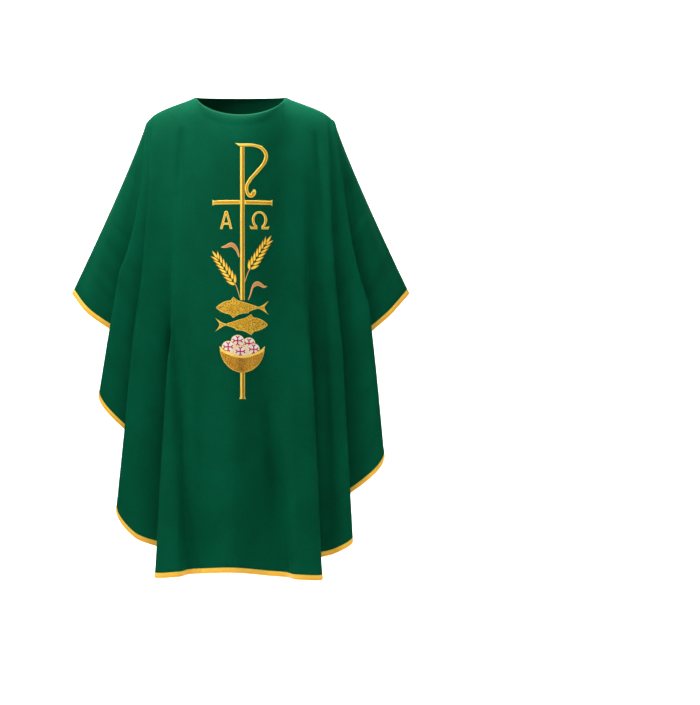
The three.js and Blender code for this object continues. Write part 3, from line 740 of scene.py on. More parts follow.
def weave_group() -> Tree:
    """A plain weave: threads over and under, with uneven yarn. Its vector is in metres along the cloth.

    Returns:
        The group.
    """
    group, g, given, out = new_group(
        "weave",
        {"Vector": ("NodeSocketVector", 0), "Pitch": ("NodeSocketFloat", 0.0007), "Slub": ("NodeSocketFloat", 0.4)},
        ("Height", "Shade"),
    )
    x, y, _ = g.apart(given.outputs["Vector"])
    turns = g.math("DIVIDE", 2 * math.pi, given.outputs["Pitch"])
    warp, weft = (g.math("SINE", g.mul(way, turns)) for way in (x, y))
    over = g.mul(warp, weft)
    yarns = [g.noise(g.join(g.mul(x, fine), g.mul(y, long)), 1.0)
             for fine, long in ((YARN_FINE, YARN_LONG), (YARN_LONG, YARN_FINE))]
    slub = g.mul(g.plus(*yarns), given.outputs["Slub"])
    g.feed(out, {"Height": g.plus(g.mul(over, 0.5), slub),
                 "Shade": g.minus(slub, given.outputs["Slub"])})
    return group


def satin_group() -> Tree:
    """Threads laid side by side: rounded lines across V, each with its own tone.

    Returns:
        The group.
    """
    group, g, given, out = new_group(
        "satin_stitch",
        {"Along": ("NodeSocketFloat", 0), "Across": ("NodeSocketFloat", 0), "Pitch": ("NodeSocketFloat", 0.0005)},
        ("Height", "Tone"),
    )
    thread = g.math("DIVIDE", given.outputs["Along"], given.outputs["Pitch"])
    round_top = g.math("SINE", g.mul(g.math("FRACT", thread), math.pi))
    number = g.math("FLOOR", thread)
    place = g.join(number, g.mul(given.outputs["Across"], 160.0))
    g.feed(out, {"Height": round_top, "Tone": g.noise(place, 0.73, 1.0)})
    return group


def tatami_group() -> Tree:
    """Filled stitching: short stitches in offset rows, with needle holes at their ends that the thread's material
    darkens as painted shade.

    Returns:
        The group.
    """
    group, g, given, out = new_group(
        "tatami_fill",
        {"Vector": ("NodeSocketVector", 0), "Row": ("NodeSocketFloat", 0.0009), "Stitch": ("NodeSocketFloat", 0.0045)},
        ("Height", "Pinhole"),
    )
    x, y, _ = g.apart(given.outputs["Vector"])
    row = g.math("DIVIDE", y, given.outputs["Row"])
    number = g.math("FLOOR", row)
    shift = g.mul(number, 0.37)
    along = g.math("FRACT", g.plus(g.math("DIVIDE", x, given.outputs["Stitch"]), shift))
    lane = g.math("SINE", g.mul(g.math("FRACT", row), math.pi))
    hole = g.rest_of(g.ramp(g.math("MINIMUM", along, g.rest_of(along)), 0.02, 0.14))
    g.feed(out, {"Height": g.minus(lane, hole), "Pinhole": hole})
    return group


def srgb(code: str) -> Colour:
    """A scene colour from a six-digit display code.

    Args:
        code: red, green and blue, two hexadecimal digits each.

    Returns:
        The colour, fully opaque.
    """
    def linear(value: int) -> float:
        """One channel's share of light."""
        share = value / 255
        return share / 12.92 if share <= 0.04045 else ((share + 0.055) / 1.055) ** 2.4

    red, green, blue = (linear(int(code[k:k + 2], 16)) for k in (0, 2, 4))
    return red, green, blue, 1.0


def new_material(name: str) -> tuple[Material, Graph, Node]:
    """A new material.

    Args:
        name: its name.

    Returns:
        The material, its graph and its surface shader.
    """
    material = bpy.data.materials.new(name)
    material.use_nodes = True
    return material, Graph(material.node_tree), material.node_tree.nodes["Principled BSDF"]


@dataclass
class Groups:
    """The shader groups that the finishes share."""

    weave: Tree
    satin: Tree
    tatami: Tree


@dataclass(frozen=True)
class ClothFinish:
    """Woven cloth with a soft nap."""

    name: str
    colour: str
    deep: str
    roughness: float
    sheen: float
    sheen_tint: str
    pitch: float = 0.8 * MM
    cloud_scale: float = 7.0
    lint_scale: float = 520.0
    grain_scale: float = 210.0
    wear_scale: float = 60.0

    def make(self, groups: Groups) -> Material:
        """The material, on the piece's flat UV map.

        Args:
            groups: the shared shader groups.

        Returns:
            The new material.
        """
        material, g, shader = new_material(self.name)
        uv = g.map("flat")
        weave = g.add("ShaderNodeGroup", {"Vector": uv, "Pitch": self.pitch, "Slub": 0.35}, node_tree=groups.weave)
        tone = g.mix(g.ramp(g.noise(uv, self.cloud_scale, 3.0), 0.3, 0.72), srgb(self.deep), srgb(self.colour))
        lint = g.ramp(g.noise(uv, self.lint_scale, 0.0), 0.66, 0.8)
        grain = g.minus(g.noise(uv, self.grain_scale), 0.5)
        shade = g.plus(1.0, g.mul(weave.outputs["Shade"], 0.55))
        shade = g.plus(shade, g.plus(g.mul(grain, 0.3), g.mul(lint, 0.3)))
        yarn = g.add("ShaderNodeVectorMath", {0: tone, "Scale": shade}, operation="SCALE")
        wear = g.minus(g.noise(uv, self.wear_scale), 0.5)
        g.feed(shader, {
            "Base Color": yarn.outputs[0],
            "Roughness": g.plus(self.roughness, g.mul(wear, 0.12)),
            "Normal": g.bump(weave.outputs["Height"], 0.35, 0.2 * MM),
            "Sheen Weight": self.sheen, "Sheen Roughness": 0.45, "Sheen Tint": srgb(self.sheen_tint),
            "Specular IOR Level": 0.03,
        })
        return material


@dataclass(frozen=True)
class SatinFinish:
    """Ribbed satin tape: ribs across it, with painted shade that darkens it from its top edge to the fold."""

    name: str
    # light is the tape's colour at its top edge, and deep its colour in painted shade at the fold; each rib's own tone
    # also mixes between them
    light: str
    deep: str
    pitch: float = 0.9 * MM

    def make(self, groups: Groups) -> Material:
        """The material, on the tape's UV map: U along it, V from its top edge to the fold.

        Args:
            groups: the shared shader groups.

        Returns:
            The new material.
        """
        material, g, shader = new_material(self.name)
        along, across, _ = g.apart(g.map("flat"))
        ribs = g.add("ShaderNodeGroup", {"Along": along, "Across": across, "Pitch": self.pitch},
                     node_tree=groups.satin)
        # painted shade: the tape darkens from its top edge down to the fold
        down = g.mul(g.ramp(across, 0.0, BINDING_WIDTH), 0.8)
        tone = g.plus(down, g.mul(ribs.outputs["Tone"], 0.3))
        g.feed(shader, {
            "Base Color": g.mix(tone, srgb(self.light), srgb(self.deep)),
            "Roughness": g.plus(0.36, g.mul(ribs.outputs["Tone"], 0.16)),
            "Normal": g.bump(ribs.outputs["Height"], 0.5, 0.2 * MM),
            "Specular IOR Level": 0.5, "Sheen Weight": 0.15,
        })
        return material


TWIST_PITCH = 5.2 * MM  # from one dark gap of the staff's cord to the next


class Fill(Enum):
    """How the middle of an embroidered patch is stitched."""

    SATIN = "satin"
    TATAMI = "tatami"
    TWIST = "twist"


@dataclass(frozen=True)
class ThreadFinish:
    """Embroidery thread: a satin border and a filled middle.

    The patch's "flat" map holds U along the nearest outline and V in from it; "motif" holds across and up.
    """

    name: str
    border: str
    middle: str
    # the dark colour: painted shade in the cord's gaps and the needle holes, and darker thread in flecks, bands and
    # single threads
    shade_and_dark_thread: str
    fill: Fill = Fill.SATIN
    border_width: float = 1.0 * MM
    roughness: float = 0.38
    hole_shade_and_flecks: float = 0.8
    middle_shade: float = 0.0
    fleck_scale: float = 300.0
    cloud_scale: float = 55.0

    def _twist(self, g: Graph, x: Socket, y: Socket, height: Socket) -> tuple[Socket, Socket]:
        """A cord twisted beside a bright edge: slanted gaps in the right half, darkened with painted shade.

        Args:
            g: the material's graph.
            x: how far right of the middle.
            y: how far up.
            height: the height of the stitches.

        Returns:
            The colour and the new height.
        """
        slant = g.plus(g.math("DIVIDE", y, TWIST_PITCH), g.mul(x, 150.0))
        right = g.ramp(x, -1.2 * MM, -0.6 * MM)
        share = g.mul(right, g.rest_of(g.ramp(x, 4.1 * MM, 4.7 * MM)))
        gap = g.rest_of(g.ramp(g.math("PINGPONG", slant, 0.5), 0.1, 0.3))
        # painted shade: the gaps between the cord's twists take the dark colour
        cord = g.mix(g.mul(gap, 0.9), srgb(self.middle), srgb(self.shade_and_dark_thread))
        sunk = g.mul(g.mul(share, gap), 0.9)
        return g.mix(share, srgb(self.border), cord), g.minus(height, sunk)

    def _filled(self, g: Graph, tatami: Node, motif: Socket, inner: Socket, height: Socket) -> tuple[Socket, Socket]:
        """A middle filled with short stitches, with painted shade in its needle holes, and its flecks.

        Args:
            g: the material's graph.
            tatami: the stitches' group node.
            motif: the place on the patch.
            inner: 0 on the border and 1 inside it.
            height: the height of the border's stitches.

        Returns:
            The colour and the new height.
        """
        flecks = g.ramp(g.noise(motif, self.fleck_scale, 1.0), 0.5, 0.6)
        # painted shade in the needle holes, and darker flecks of thread in the fill
        dark = g.math("MAXIMUM", g.mul(tatami.outputs["Pinhole"], self.hole_shade_and_flecks * 0.4),
                      g.mul(flecks, self.hole_shade_and_flecks))
        if self.middle_shade:
            x = g.apart(motif)[0]
            near = g.rest_of(g.ramp(g.math("ABSOLUTE", x), 0.0, 17 * MM))
            left = g.rest_of(g.ramp(x, -4 * MM, 4 * MM))
            near = g.plus(near, g.mul(left, 0.45))
            dark = g.plus(dark, g.mul(near, self.middle_shade))
        border, middle, shade_and_dark_thread = srgb(self.border), srgb(self.middle), srgb(self.shade_and_dark_thread)
        body = g.mix(g.ramp(g.noise(motif, self.cloud_scale), 0.35, 0.65), middle, border)
        filled = g.mix(g.mul(dark, 0.75), g.mix(0.35, middle, body), shade_and_dark_thread)
        rise = g.plus(g.mul(height, g.rest_of(inner)),
                      g.mul(tatami.outputs["Height"], inner))
        return g.mix(inner, border, filled), rise

    def make(self, groups: Groups) -> Material:
        """The material.

        Args:
            groups: the shared shader groups.

        Returns:
            The new material.
        """
        material, g, shader = new_material(self.name)
        along, inset, _ = g.apart(g.map("flat"))
        motif = g.map("motif")
        satin = g.add("ShaderNodeGroup", {"Along": along, "Across": inset}, node_tree=groups.satin)
        inner = g.ramp(inset, self.border_width * 0.8, self.border_width * 1.25)
        tone, height = satin.outputs["Tone"], satin.outputs["Height"]
        if self.fill is Fill.TWIST:
            x, y, _ = g.apart(motif)
            colour, height = self._twist(g, x, y, height)
        elif self.fill is Fill.TATAMI:
            tatami = g.add("ShaderNodeGroup", {"Vector": motif}, node_tree=groups.tatami)
            colour, height = self._filled(g, tatami, motif, inner, height)
        else:
            colour = g.mix(inner, srgb(self.border), srgb(self.middle))
        shaded = g.mul(g.ramp(tone, 0.25, 0.8), 0.28)
        g.feed(shader, {
            "Base Color": g.mix(shaded, colour, srgb(self.shade_and_dark_thread)),
            "Roughness": g.plus(self.roughness, g.mul(tone, 0.14)),
            "Normal": g.bump(height, 0.55, 0.18 * MM),
            "Specular IOR Level": 0.25,
        })
        return material


FINISHES = {
    "green": ClothFinish("green_cloth", "004d34", "00472f", 0.72, 0.1, "00be78"),
    "green_inside": ClothFinish("green_cloth_inside", "00422c", "003c28", 0.8, 0.03, "00a064"),
    "fleece": ClothFinish("stabiliser_fleece", "dee0da", "cdd0cb", 0.9, 0.2, "ffffff"),
    "gold_satin": SatinFinish("gold_satin", "ffd046", "f6b018"),
    "staff": ThreadFinish("staff_thread", "ffe25c", "d6920a", "603600", Fill.TWIST),
    "bar": ThreadFinish("bar_thread", "ffe45c", "d8920a", "965800", border_width=2.1 * MM),
    "letter": ThreadFinish("letter_thread", "ffe264", "d08e12", "965c04", border_width=1.6 * MM),
    # the wheat's dark border is painted shade between its overlapping grains
    "wheat": ThreadFinish("wheat_thread", "b87606", "ffd84a", "ce8c0c", border_width=0.7 * MM),
    "fish": ThreadFinish("fish_thread", "ffd654", "e4ae1a", "623804", Fill.TATAMI, 1.3 * MM, hole_shade_and_flecks=1.0),
    "bowl": ThreadFinish("bowl_thread", "f8c246", "da9a20", "704006", Fill.TATAMI, 1.6 * MM, middle_shade=0.42),
    "rim": ThreadFinish("rim_thread", "ffe66e", "ffd654", "c48814"),
    "leaf": ThreadFinish("leaf_thread", "f0ba70", "ce8e4e", "965c28", border_width=1.3 * MM),
    "host": ThreadFinish("host_thread", "ffe078", "f8f2f8", "b4a8ba", Fill.TATAMI, 1.5 * MM, hole_shade_and_flecks=0.25),
    "cross": ThreadFinish("cross_thread", "c80630", "be022a", "78001a", border_width=0.8 * MM),
    "underlay": ThreadFinish("underlay_thread", "fae296", "f6dea0", "cea05a"),
    "gold_stitch": ThreadFinish("binding_stitch_thread", "e8a624", "de981a", "a0640e"),
    "green_stitch": ThreadFinish("neck_stitch_thread", "045c3e", "005036", "003222"),
    "eye": ThreadFinish("eye_thread", "784e14", "603c0e", "3c2408"),
}


# ---------------------------------------------------------------- cloth pieces
class ClothPiece:
    """What every finished piece needs: a material, the CAD node it stands for, and its body."""

    materials: dict[str, Material]

    def finish(self, piece: Piece, material: str, slot: str, node: str = "") -> Piece:
        """Dresses a piece and ties it to the frame.

        Args:
            piece: the piece.
            material: the key of its material, which it gets if it has none.
            slot: the record's material slot; not used.
            node: the CAD node it stands for.

        Returns:
            The same piece.
        """
        if not piece.data.materials:
            piece.data.materials.append(self.materials[material])
        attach(piece, "root")
        if node:
            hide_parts(node)
        log.info("%s: %d faces", piece.name, len(piece.data.polygons))
        return piece


@dataclass
class Panel(ClothPiece):
    """One cloth panel with its hem binding, neck facing and rows of stitches."""

    materials: dict[str, Material]
    name: str
    drape: Drape
    rows: int = 150
    facing_thickness: float = 0.6 * MM
    stitch_length: float = 2.6 * MM
    stitch_gap: float = 0.7 * MM
    stitch_radius: float = 0.3 * MM
    tape_pitch: float = 3.6 * MM
    tape_thickness: float = 0.55 * MM

    def _node(self, part: str) -> str:
        """The name of this side's node for another part of the garment."""
        return self.name.replace("panel", part)

    @property
    def flip(self) -> bool:
        """Whether the grid's quads have to be turned to face out."""
        return self.drape.side is Side.BACK

    def _grid(self, us: Array, vs: Array) -> tuple[Array, Array, Array]:
        """Middle-surface points, normals and flat coordinates over a grid of places.

        Args:
            us: places across.
            vs: places down.

        Returns:
            Points and normals as (rows, columns, 3), and flat coordinates as (rows, columns, 2).
        """
        u, v = np.meshgrid(us, vs)
        points = self.drape.point(u.ravel(), v.ravel()).reshape(*u.shape, 3)
        down, across = np.gradient(points, axis=(0, 1))
        normals = unit(np.cross(across, down) * self.drape.side.value)
        right = np.cumsum(np.linalg.norm(np.diff(points, axis=1, prepend=points[:, :1]), axis=2), axis=1)
        right -= right[:, len(us) // 2][:, None]
        length = np.cumsum(np.linalg.norm(np.diff(points, axis=0, prepend=points[:1]), axis=2), axis=0)
        return points, normals, np.stack([right, -length], -1)

    def cloth(self) -> Piece:
        """The panel itself, with its right and wrong sides.

        Returns:
            The cloth.
        """
        us = np.linspace(0, 1, FOLD_PITCH * (len(self.drape.folds) - 1) + 1)
        t = np.linspace(0, 1, self.rows)
        vs = t - 0.55 * np.sin(2 * np.pi * t) / (2 * np.pi)
        points, _, flat = self._grid(us, vs)
        made = new_sheet(f"{self.name}_cloth", points, flat, self.flip, CLOTH_THICKNESS,
                         [self.materials["green"], self.materials["green_inside"]])
        return self.finish(made, "green", "green_cloth", self.name)

    def _even(self, u: Array, v: Array, count: Callable[[float], int]) -> tuple[Array, Array]:
        """Places at an even pitch along a line on the cloth.

        Args:
            u: the line's places across.
            v: its places down.
            count: how many places a line of this length gets.

        Returns:
            The u of each place, and how far along it is.
        """
        far = distance_along(self.drape.point(u, v))
        even = np.linspace(0, far[-1], count(far[-1]))
        return np.interp(even, far, u), even

    def _hem(self, pitch: float) -> tuple[Array, Array]:
        """Places along the hem at an even pitch: the u of each, and how far along the hem it is."""
        u = np.linspace(0, 1, 4000)
        return self._even(u, np.ones_like(u), lambda length: int(length / pitch) + 1)

    def _above_hem(self, u: Array, height: float) -> Array:
        """The v of the places this far above the hem.

        Args:
            u: places along the hem.
            height: how far above it.

        Returns:
            The v of each place.
        """
        near = np.full_like(u, 0.97)
        reach = np.linalg.norm(self.drape.base(u, np.ones_like(u)) - self.drape.base(u, near), axis=1)
        return 1 - 0.03 * height / np.maximum(reach, 1e-6)

    def binding(self) -> Piece:
        """The satin tape folded over the hem, a little padded, with rounded edges.

        Returns:
            The tape.
        """
        us, run = self._hem(self.tape_pitch)
        vs = [self._above_hem(us, BINDING_WIDTH), self._above_hem(us, BINDING_WIDTH / 2), np.ones_like(us)]
        lines = [self.drape.point(us, v) for v in vs]
        normals = [self.drape.normal(us, v) for v in vs]
        down = unit(lines[2] - lines[1])
        skin = HALF_CLOTH + 0.12 * MM
        out = skin + self.tape_thickness
        outside = [
            (0, 0.0, out - 0.15 * MM, 0.0),
            (0, -0.2 * MM, out + 0.12 * MM, 0.4 * MM),
            (1, 0.0, out + 0.3 * MM, BINDING_WIDTH / 2),
            (2, -0.6 * MM, out + 0.12 * MM, BINDING_WIDTH),
            (2, 0.5 * MM, 0.6 * out, BINDING_WIDTH + 1.0 * MM),
        ]
        inside = [(2, 0.1 * MM, skin, BINDING_WIDTH), (1, 0.0, skin, BINDING_WIDTH / 2), (0, 0.2 * MM, skin, 0.0)]
        section = [*outside, (2, 0.95 * MM, 0.0, BINDING_WIDTH + 1.5 * MM), *self._behind(outside),
                   *self._behind(inside), *inside]
        rings = np.stack([lines[k] + down * along + normals[k] * off for k, along, off, _ in section], 1)
        node = self._node("hem_binding")
        made = new_strip(f"{node}_satin", rings, run[:, None], np.array([row[3] for row in section])[None])
        return self.finish(made, "gold_satin", "gold_satin", node)

    @staticmethod
    def _behind(section: list[tuple[int, float, float, float]]) -> list[tuple[int, float, float, float]]:
        """The same part of a section on the other face of the cloth, in the opposite order."""
        return [(k, along, -off, across) for k, along, off, across in section[::-1]]

    def _stitches(self, name: str, us: Array, vs: Array, off: float, material: str, slot: str) -> Piece:
        """A row of small closed stitches on the cloth.

        Args:
            name: the piece's name.
            us: places along the row, at half the pitch of the stitches.
            vs: how far down each is.
            off: how far off the middle surface the thread lies.
            material: the key of its material.
            slot: the record's material slot.

        Returns:
            One piece that holds the whole row.
        """
        centre = self.drape.point(us, vs) + self.drape.normal(us, vs) * off
        normal = self.drape.normal(us, vs) * math.copysign(1, off)
        ahead = np.gradient(centre, axis=0)
        pitch = np.linalg.norm(ahead, axis=1)[:, None] * 2
        ahead /= np.maximum(pitch / 2, 1e-9)
        side = np.cross(normal, ahead)
        share = self.stitch_length / (self.stitch_length + self.stitch_gap)
        shape = [(-0.5, 0.25, -0.9), (-0.3, 0.95, 0.1), (0.3, 0.95, 0.1), (0.5, 0.25, -0.9)]
        around = [math.tau * k / 5 for k in range(5)]
        parts = []
        for along, width, lift in shape:
            for angle in around:
                parts.append(centre + ahead * (along * share * pitch)
                             + side * (math.cos(angle) * width * self.stitch_radius)
                             + normal * ((math.sin(angle) * width + lift * 0.6) * self.stitch_radius))
        points = np.stack(parts, 1)[1:-1:2]
        one = tube_faces(4, 5)
        faces = [tuple(i + 20 * k for i in f) for k in range(len(points)) for f in one]
        made = new_mesh(name, points.reshape(-1, 3), faces)
        face_out(made)
        flat = np.zeros((len(points) * 20, 2))
        flat[:, 0] = np.arange(len(flat)) * 0.4 * MM
        set_uv(made, flat)
        set_uv(made, flat, "motif")
        return self.finish(made, material, slot)

    def hem_stitches(self) -> Piece:
        """The line of stitching along the top edge of the binding.

        Returns:
            The row of stitches.
        """
        us, _ = self._hem((self.stitch_length + self.stitch_gap) / 2)
        vs = self._above_hem(us, BINDING_WIDTH - 1.8 * MM)
        return self._stitches(self._node("hem_stitches"), us, vs, HALF_CLOTH + 0.92 * MM, "gold_stitch", "gold_thread")

    def neck_stitches(self) -> Piece:
        """The line of stitching that holds the facing, just below the neckline.

        Returns:
            The row of stitches.
        """
        u = self._neck_places(0.985, 2000)
        v = np.full_like(u, 6 * MM / self.drape.length)
        us, _ = self._even(u, v, lambda length: int(2 * length / (self.stitch_length + self.stitch_gap)))
        return self._stitches(self._node("neck_stitches"), us, np.full_like(us, v[0]), HALF_CLOTH + 0.12 * MM,
                              "green_stitch", "green_cloth")

    def _neck_places(self, reach: float, count: int) -> Array:
        """Even places across the neckline, out to this share of the way to each neck point."""
        tops = self.drape.columns["top"]
        return np.linspace(*np.interp([-reach, reach], tops, np.linspace(0, 1, len(tops))), count)

    def facing(self) -> Piece:
        """The shaped band inside the neckline.

        Returns:
            The facing.
        """
        us = self._neck_places(1, 121)
        vs = np.linspace(0.3 * MM, FACING_DEPTH, 16) / self.drape.length
        points, normals, flat = self._grid(us, vs)
        inset = np.full(len(vs), HALF_CLOTH + 0.25 * MM + self.facing_thickness / 2)
        inset[-3:] += np.array([0.1, 0.3, 0.5]) * MM
        node = self._node("neck_facing")
        made = new_sheet(f"{node}_cloth", points - normals * inset[:, None, None], flat, self.flip,
                         self.facing_thickness, [self.materials["green_inside"]])
        return self.finish(made, "green_inside", "green_facing", node)


@dataclass
class ShoulderSeam(ClothPiece):
    """The two turned-in edges along one shoulder seam, spread a little where they end."""

    materials: dict[str, Material]
    name: str
    sign: int
    drape: Drape
    depth: float = 10.5 * MM

    def build(self) -> Piece:
        """The seam allowance, from the neck to just above the binding.

        Returns:
            The seam allowance.
        """
        tops = np.linspace(1.02, 1.99, 60) * self.sign
        shoulder = self.drape.edge(tops)
        v = np.linspace(0.004, 0.955, 110)
        last = np.full(len(v), 0 if self.sign < 0 else len(self.drape.folds) - 1)
        arm = self.drape.line(last, v)
        line = np.concatenate([shoulder, arm])
        line[:, 1] = 0
        ahead = unit(np.gradient(line, axis=0))
        inward = np.stack([self.sign * ahead[:, 2], 0 * ahead[:, 1], -self.sign * ahead[:, 0]], -1)
        run = distance_along(line)
        ripple = 0.25 * MM * np.sin(run / 0.011) * np.sin(run / 0.043)
        half = [(1.4 * MM, 0.35 * MM, 0), (0.55 * self.depth, 0.75 * MM, 0.4), (self.depth, 0.95 * MM, 1),
                (self.depth + 0.2 * MM, 0.5 * MM, 1)]
        section = [(deep, -off, loose) for deep, off, loose in half] + [(2.4 * MM, 0.0, 0), *half[::-1]]
        rings = np.stack([
            line + inward * deep + np.stack([0 * run, off + ripple * loose * np.sign(off or 1), 0 * run], -1)
            for deep, off, loose in section], 1)
        made = new_strip(f"{self.name}_edges", rings, np.array([row[0] for row in section])[None], run[:, None])
        return self.finish(made, "green_inside", "green_facing", self.name)


# ---------------------------------------------------------------- embroidery
@dataclass
class Outline:
    """A patch's outline, seen from in front, as closed loops of points across and up."""

    loops: list[Array]

    @staticmethod
    def of_node(node: str) -> "Outline":
        """The outline of a CAD node's front face.

        Args:
            node: its name.

        Returns:
            Its loops, with the outer one first.
        """
        work = bmesh.new()
        work.from_mesh(bpy.data.objects[node].data)
        bmesh.ops.remove_doubles(work, verts=work.verts, dist=2e-5)
        work.normal_update()
        for vert in work.verts:
            vert.tag = sum(f.normal.y * f.calc_area() for f in vert.link_faces) < 0
        for face in work.faces:
            face.tag = all(vert.tag for vert in face.verts)
        follow: dict[int, list[int]] = {}
        at: dict[int, tuple[float, float]] = {}
        for face in work.faces:
            for loop in face.loops if face.tag else ():
                other = [f for f in loop.edge.link_faces if f is not face]
                if other and other[0].tag:
                    continue
                a, b = loop.vert, loop.link_loop_next.vert
                follow.setdefault(a.index, []).append(b.index)
                at[a.index], at[b.index] = (a.co.x, a.co.z), (b.co.x, b.co.z)
        work.free()
        loops = []
        while follow:
            here, chain = next(iter(follow)), []
            while here in follow:
                chain.append(here)
                ways = follow[here]
                ahead = ways.pop()
                if not ways:
                    del follow[here]
                here = ahead
            ring = np.array([at[i] for i in chain])
            if abs(Outline.area(ring)) > 5e-6:
                loops.append(ring)
        loops.sort(key=lambda ring: -abs(Outline.area(ring)))
        return Outline(loops)

    @staticmethod
    def area(ring: Array) -> float:
        """The signed area inside a loop."""
        x, y = ring[:, 0], ring[:, 1]
        return float(0.5 * np.sum(x * np.roll(y, -1) - np.roll(x, -1) * y))

    def grown(self, by: float) -> "Outline":
        """The same outline, this much larger all round.

        Args:
            by: how much larger.

        Returns:
            The wider outline.
        """
        wider = []
        for ring in self.loops:
            along = unit(np.roll(ring, -1, 0) - np.roll(ring, 1, 0))
            turn = math.copysign(by, Outline.area(self.loops[0]))
            wider.append(ring + np.stack([along[:, 1], -along[:, 0]], -1) * turn)
        return Outline(wider)

    def smoothed(self, pitch: float, corner: float = 0.62) -> "Outline":
        """The same outline with its curves rounded between corners, at an even pitch.

        Args:
            pitch: the distance between its new points.
            corner: the turn, in radians, from which a point stays a corner.

        Returns:
            The finer outline.
        """
        fine = []
        for ring in self.loops:
            keep = [ring[0]]
            for p in ring[1:]:
                if np.linalg.norm(p - keep[-1]) > 0.15 * MM:
                    keep.append(p)
            ring = np.array(keep)
            ahead = np.roll(ring, -1, 0) - ring
            behind = ring - np.roll(ring, 1, 0)
            turn = np.arctan2(ahead[:, 1], ahead[:, 0]) - np.arctan2(behind[:, 1], behind[:, 0])
            sharp = np.abs((turn + np.pi) % (2 * np.pi) - np.pi) > corner
            tangent = unit(np.roll(ring, -1, 0) - np.roll(ring, 1, 0))
            points = []
            for i, a in enumerate(ring):
                j = (i + 1) % len(ring)
                b = ring[j]
                chord = b - a
                size = np.linalg.norm(chord)
                ta, tb = (chord if sharp[k] else tangent[k] * size for k in (i, j))
                steps = max(1, int(round(size / pitch)))
                for w in np.arange(steps) / steps:
                    points.append(a * (2 * w**3 - 3 * w**2 + 1) + ta * (w**3 - 2 * w**2 + w)
                                  + b * (-2 * w**3 + 3 * w**2) + tb * (w**3 - w**2))
            fine.append(np.array(points))
        return Outline(fine)


@dataclass
class Relief:
    """How a patch stands up: rounded edges, a raised border and a slightly sunk middle."""

    height: float = 1.0 * MM
    round_over: float = 1.6 * MM
    border: float = 0.0
    sink: float = 0.0

    def at(self, inset: Array) -> Array:
        """The height this far in from the outline.

        Args:
            inset: distances from the outline.

        Returns:
            Heights above the underside.
        """
        share = np.clip(inset / self.round_over, 0, 1)
        rise = self.height * (0.35 + 0.65 * np.sqrt(np.clip(1 - (1 - share) ** 2, 0, 1)))
        if self.border:
            rise -= self.sink * 0.5 * (1 + np.tanh((inset - self.border) / (0.35 * MM)))
        return rise


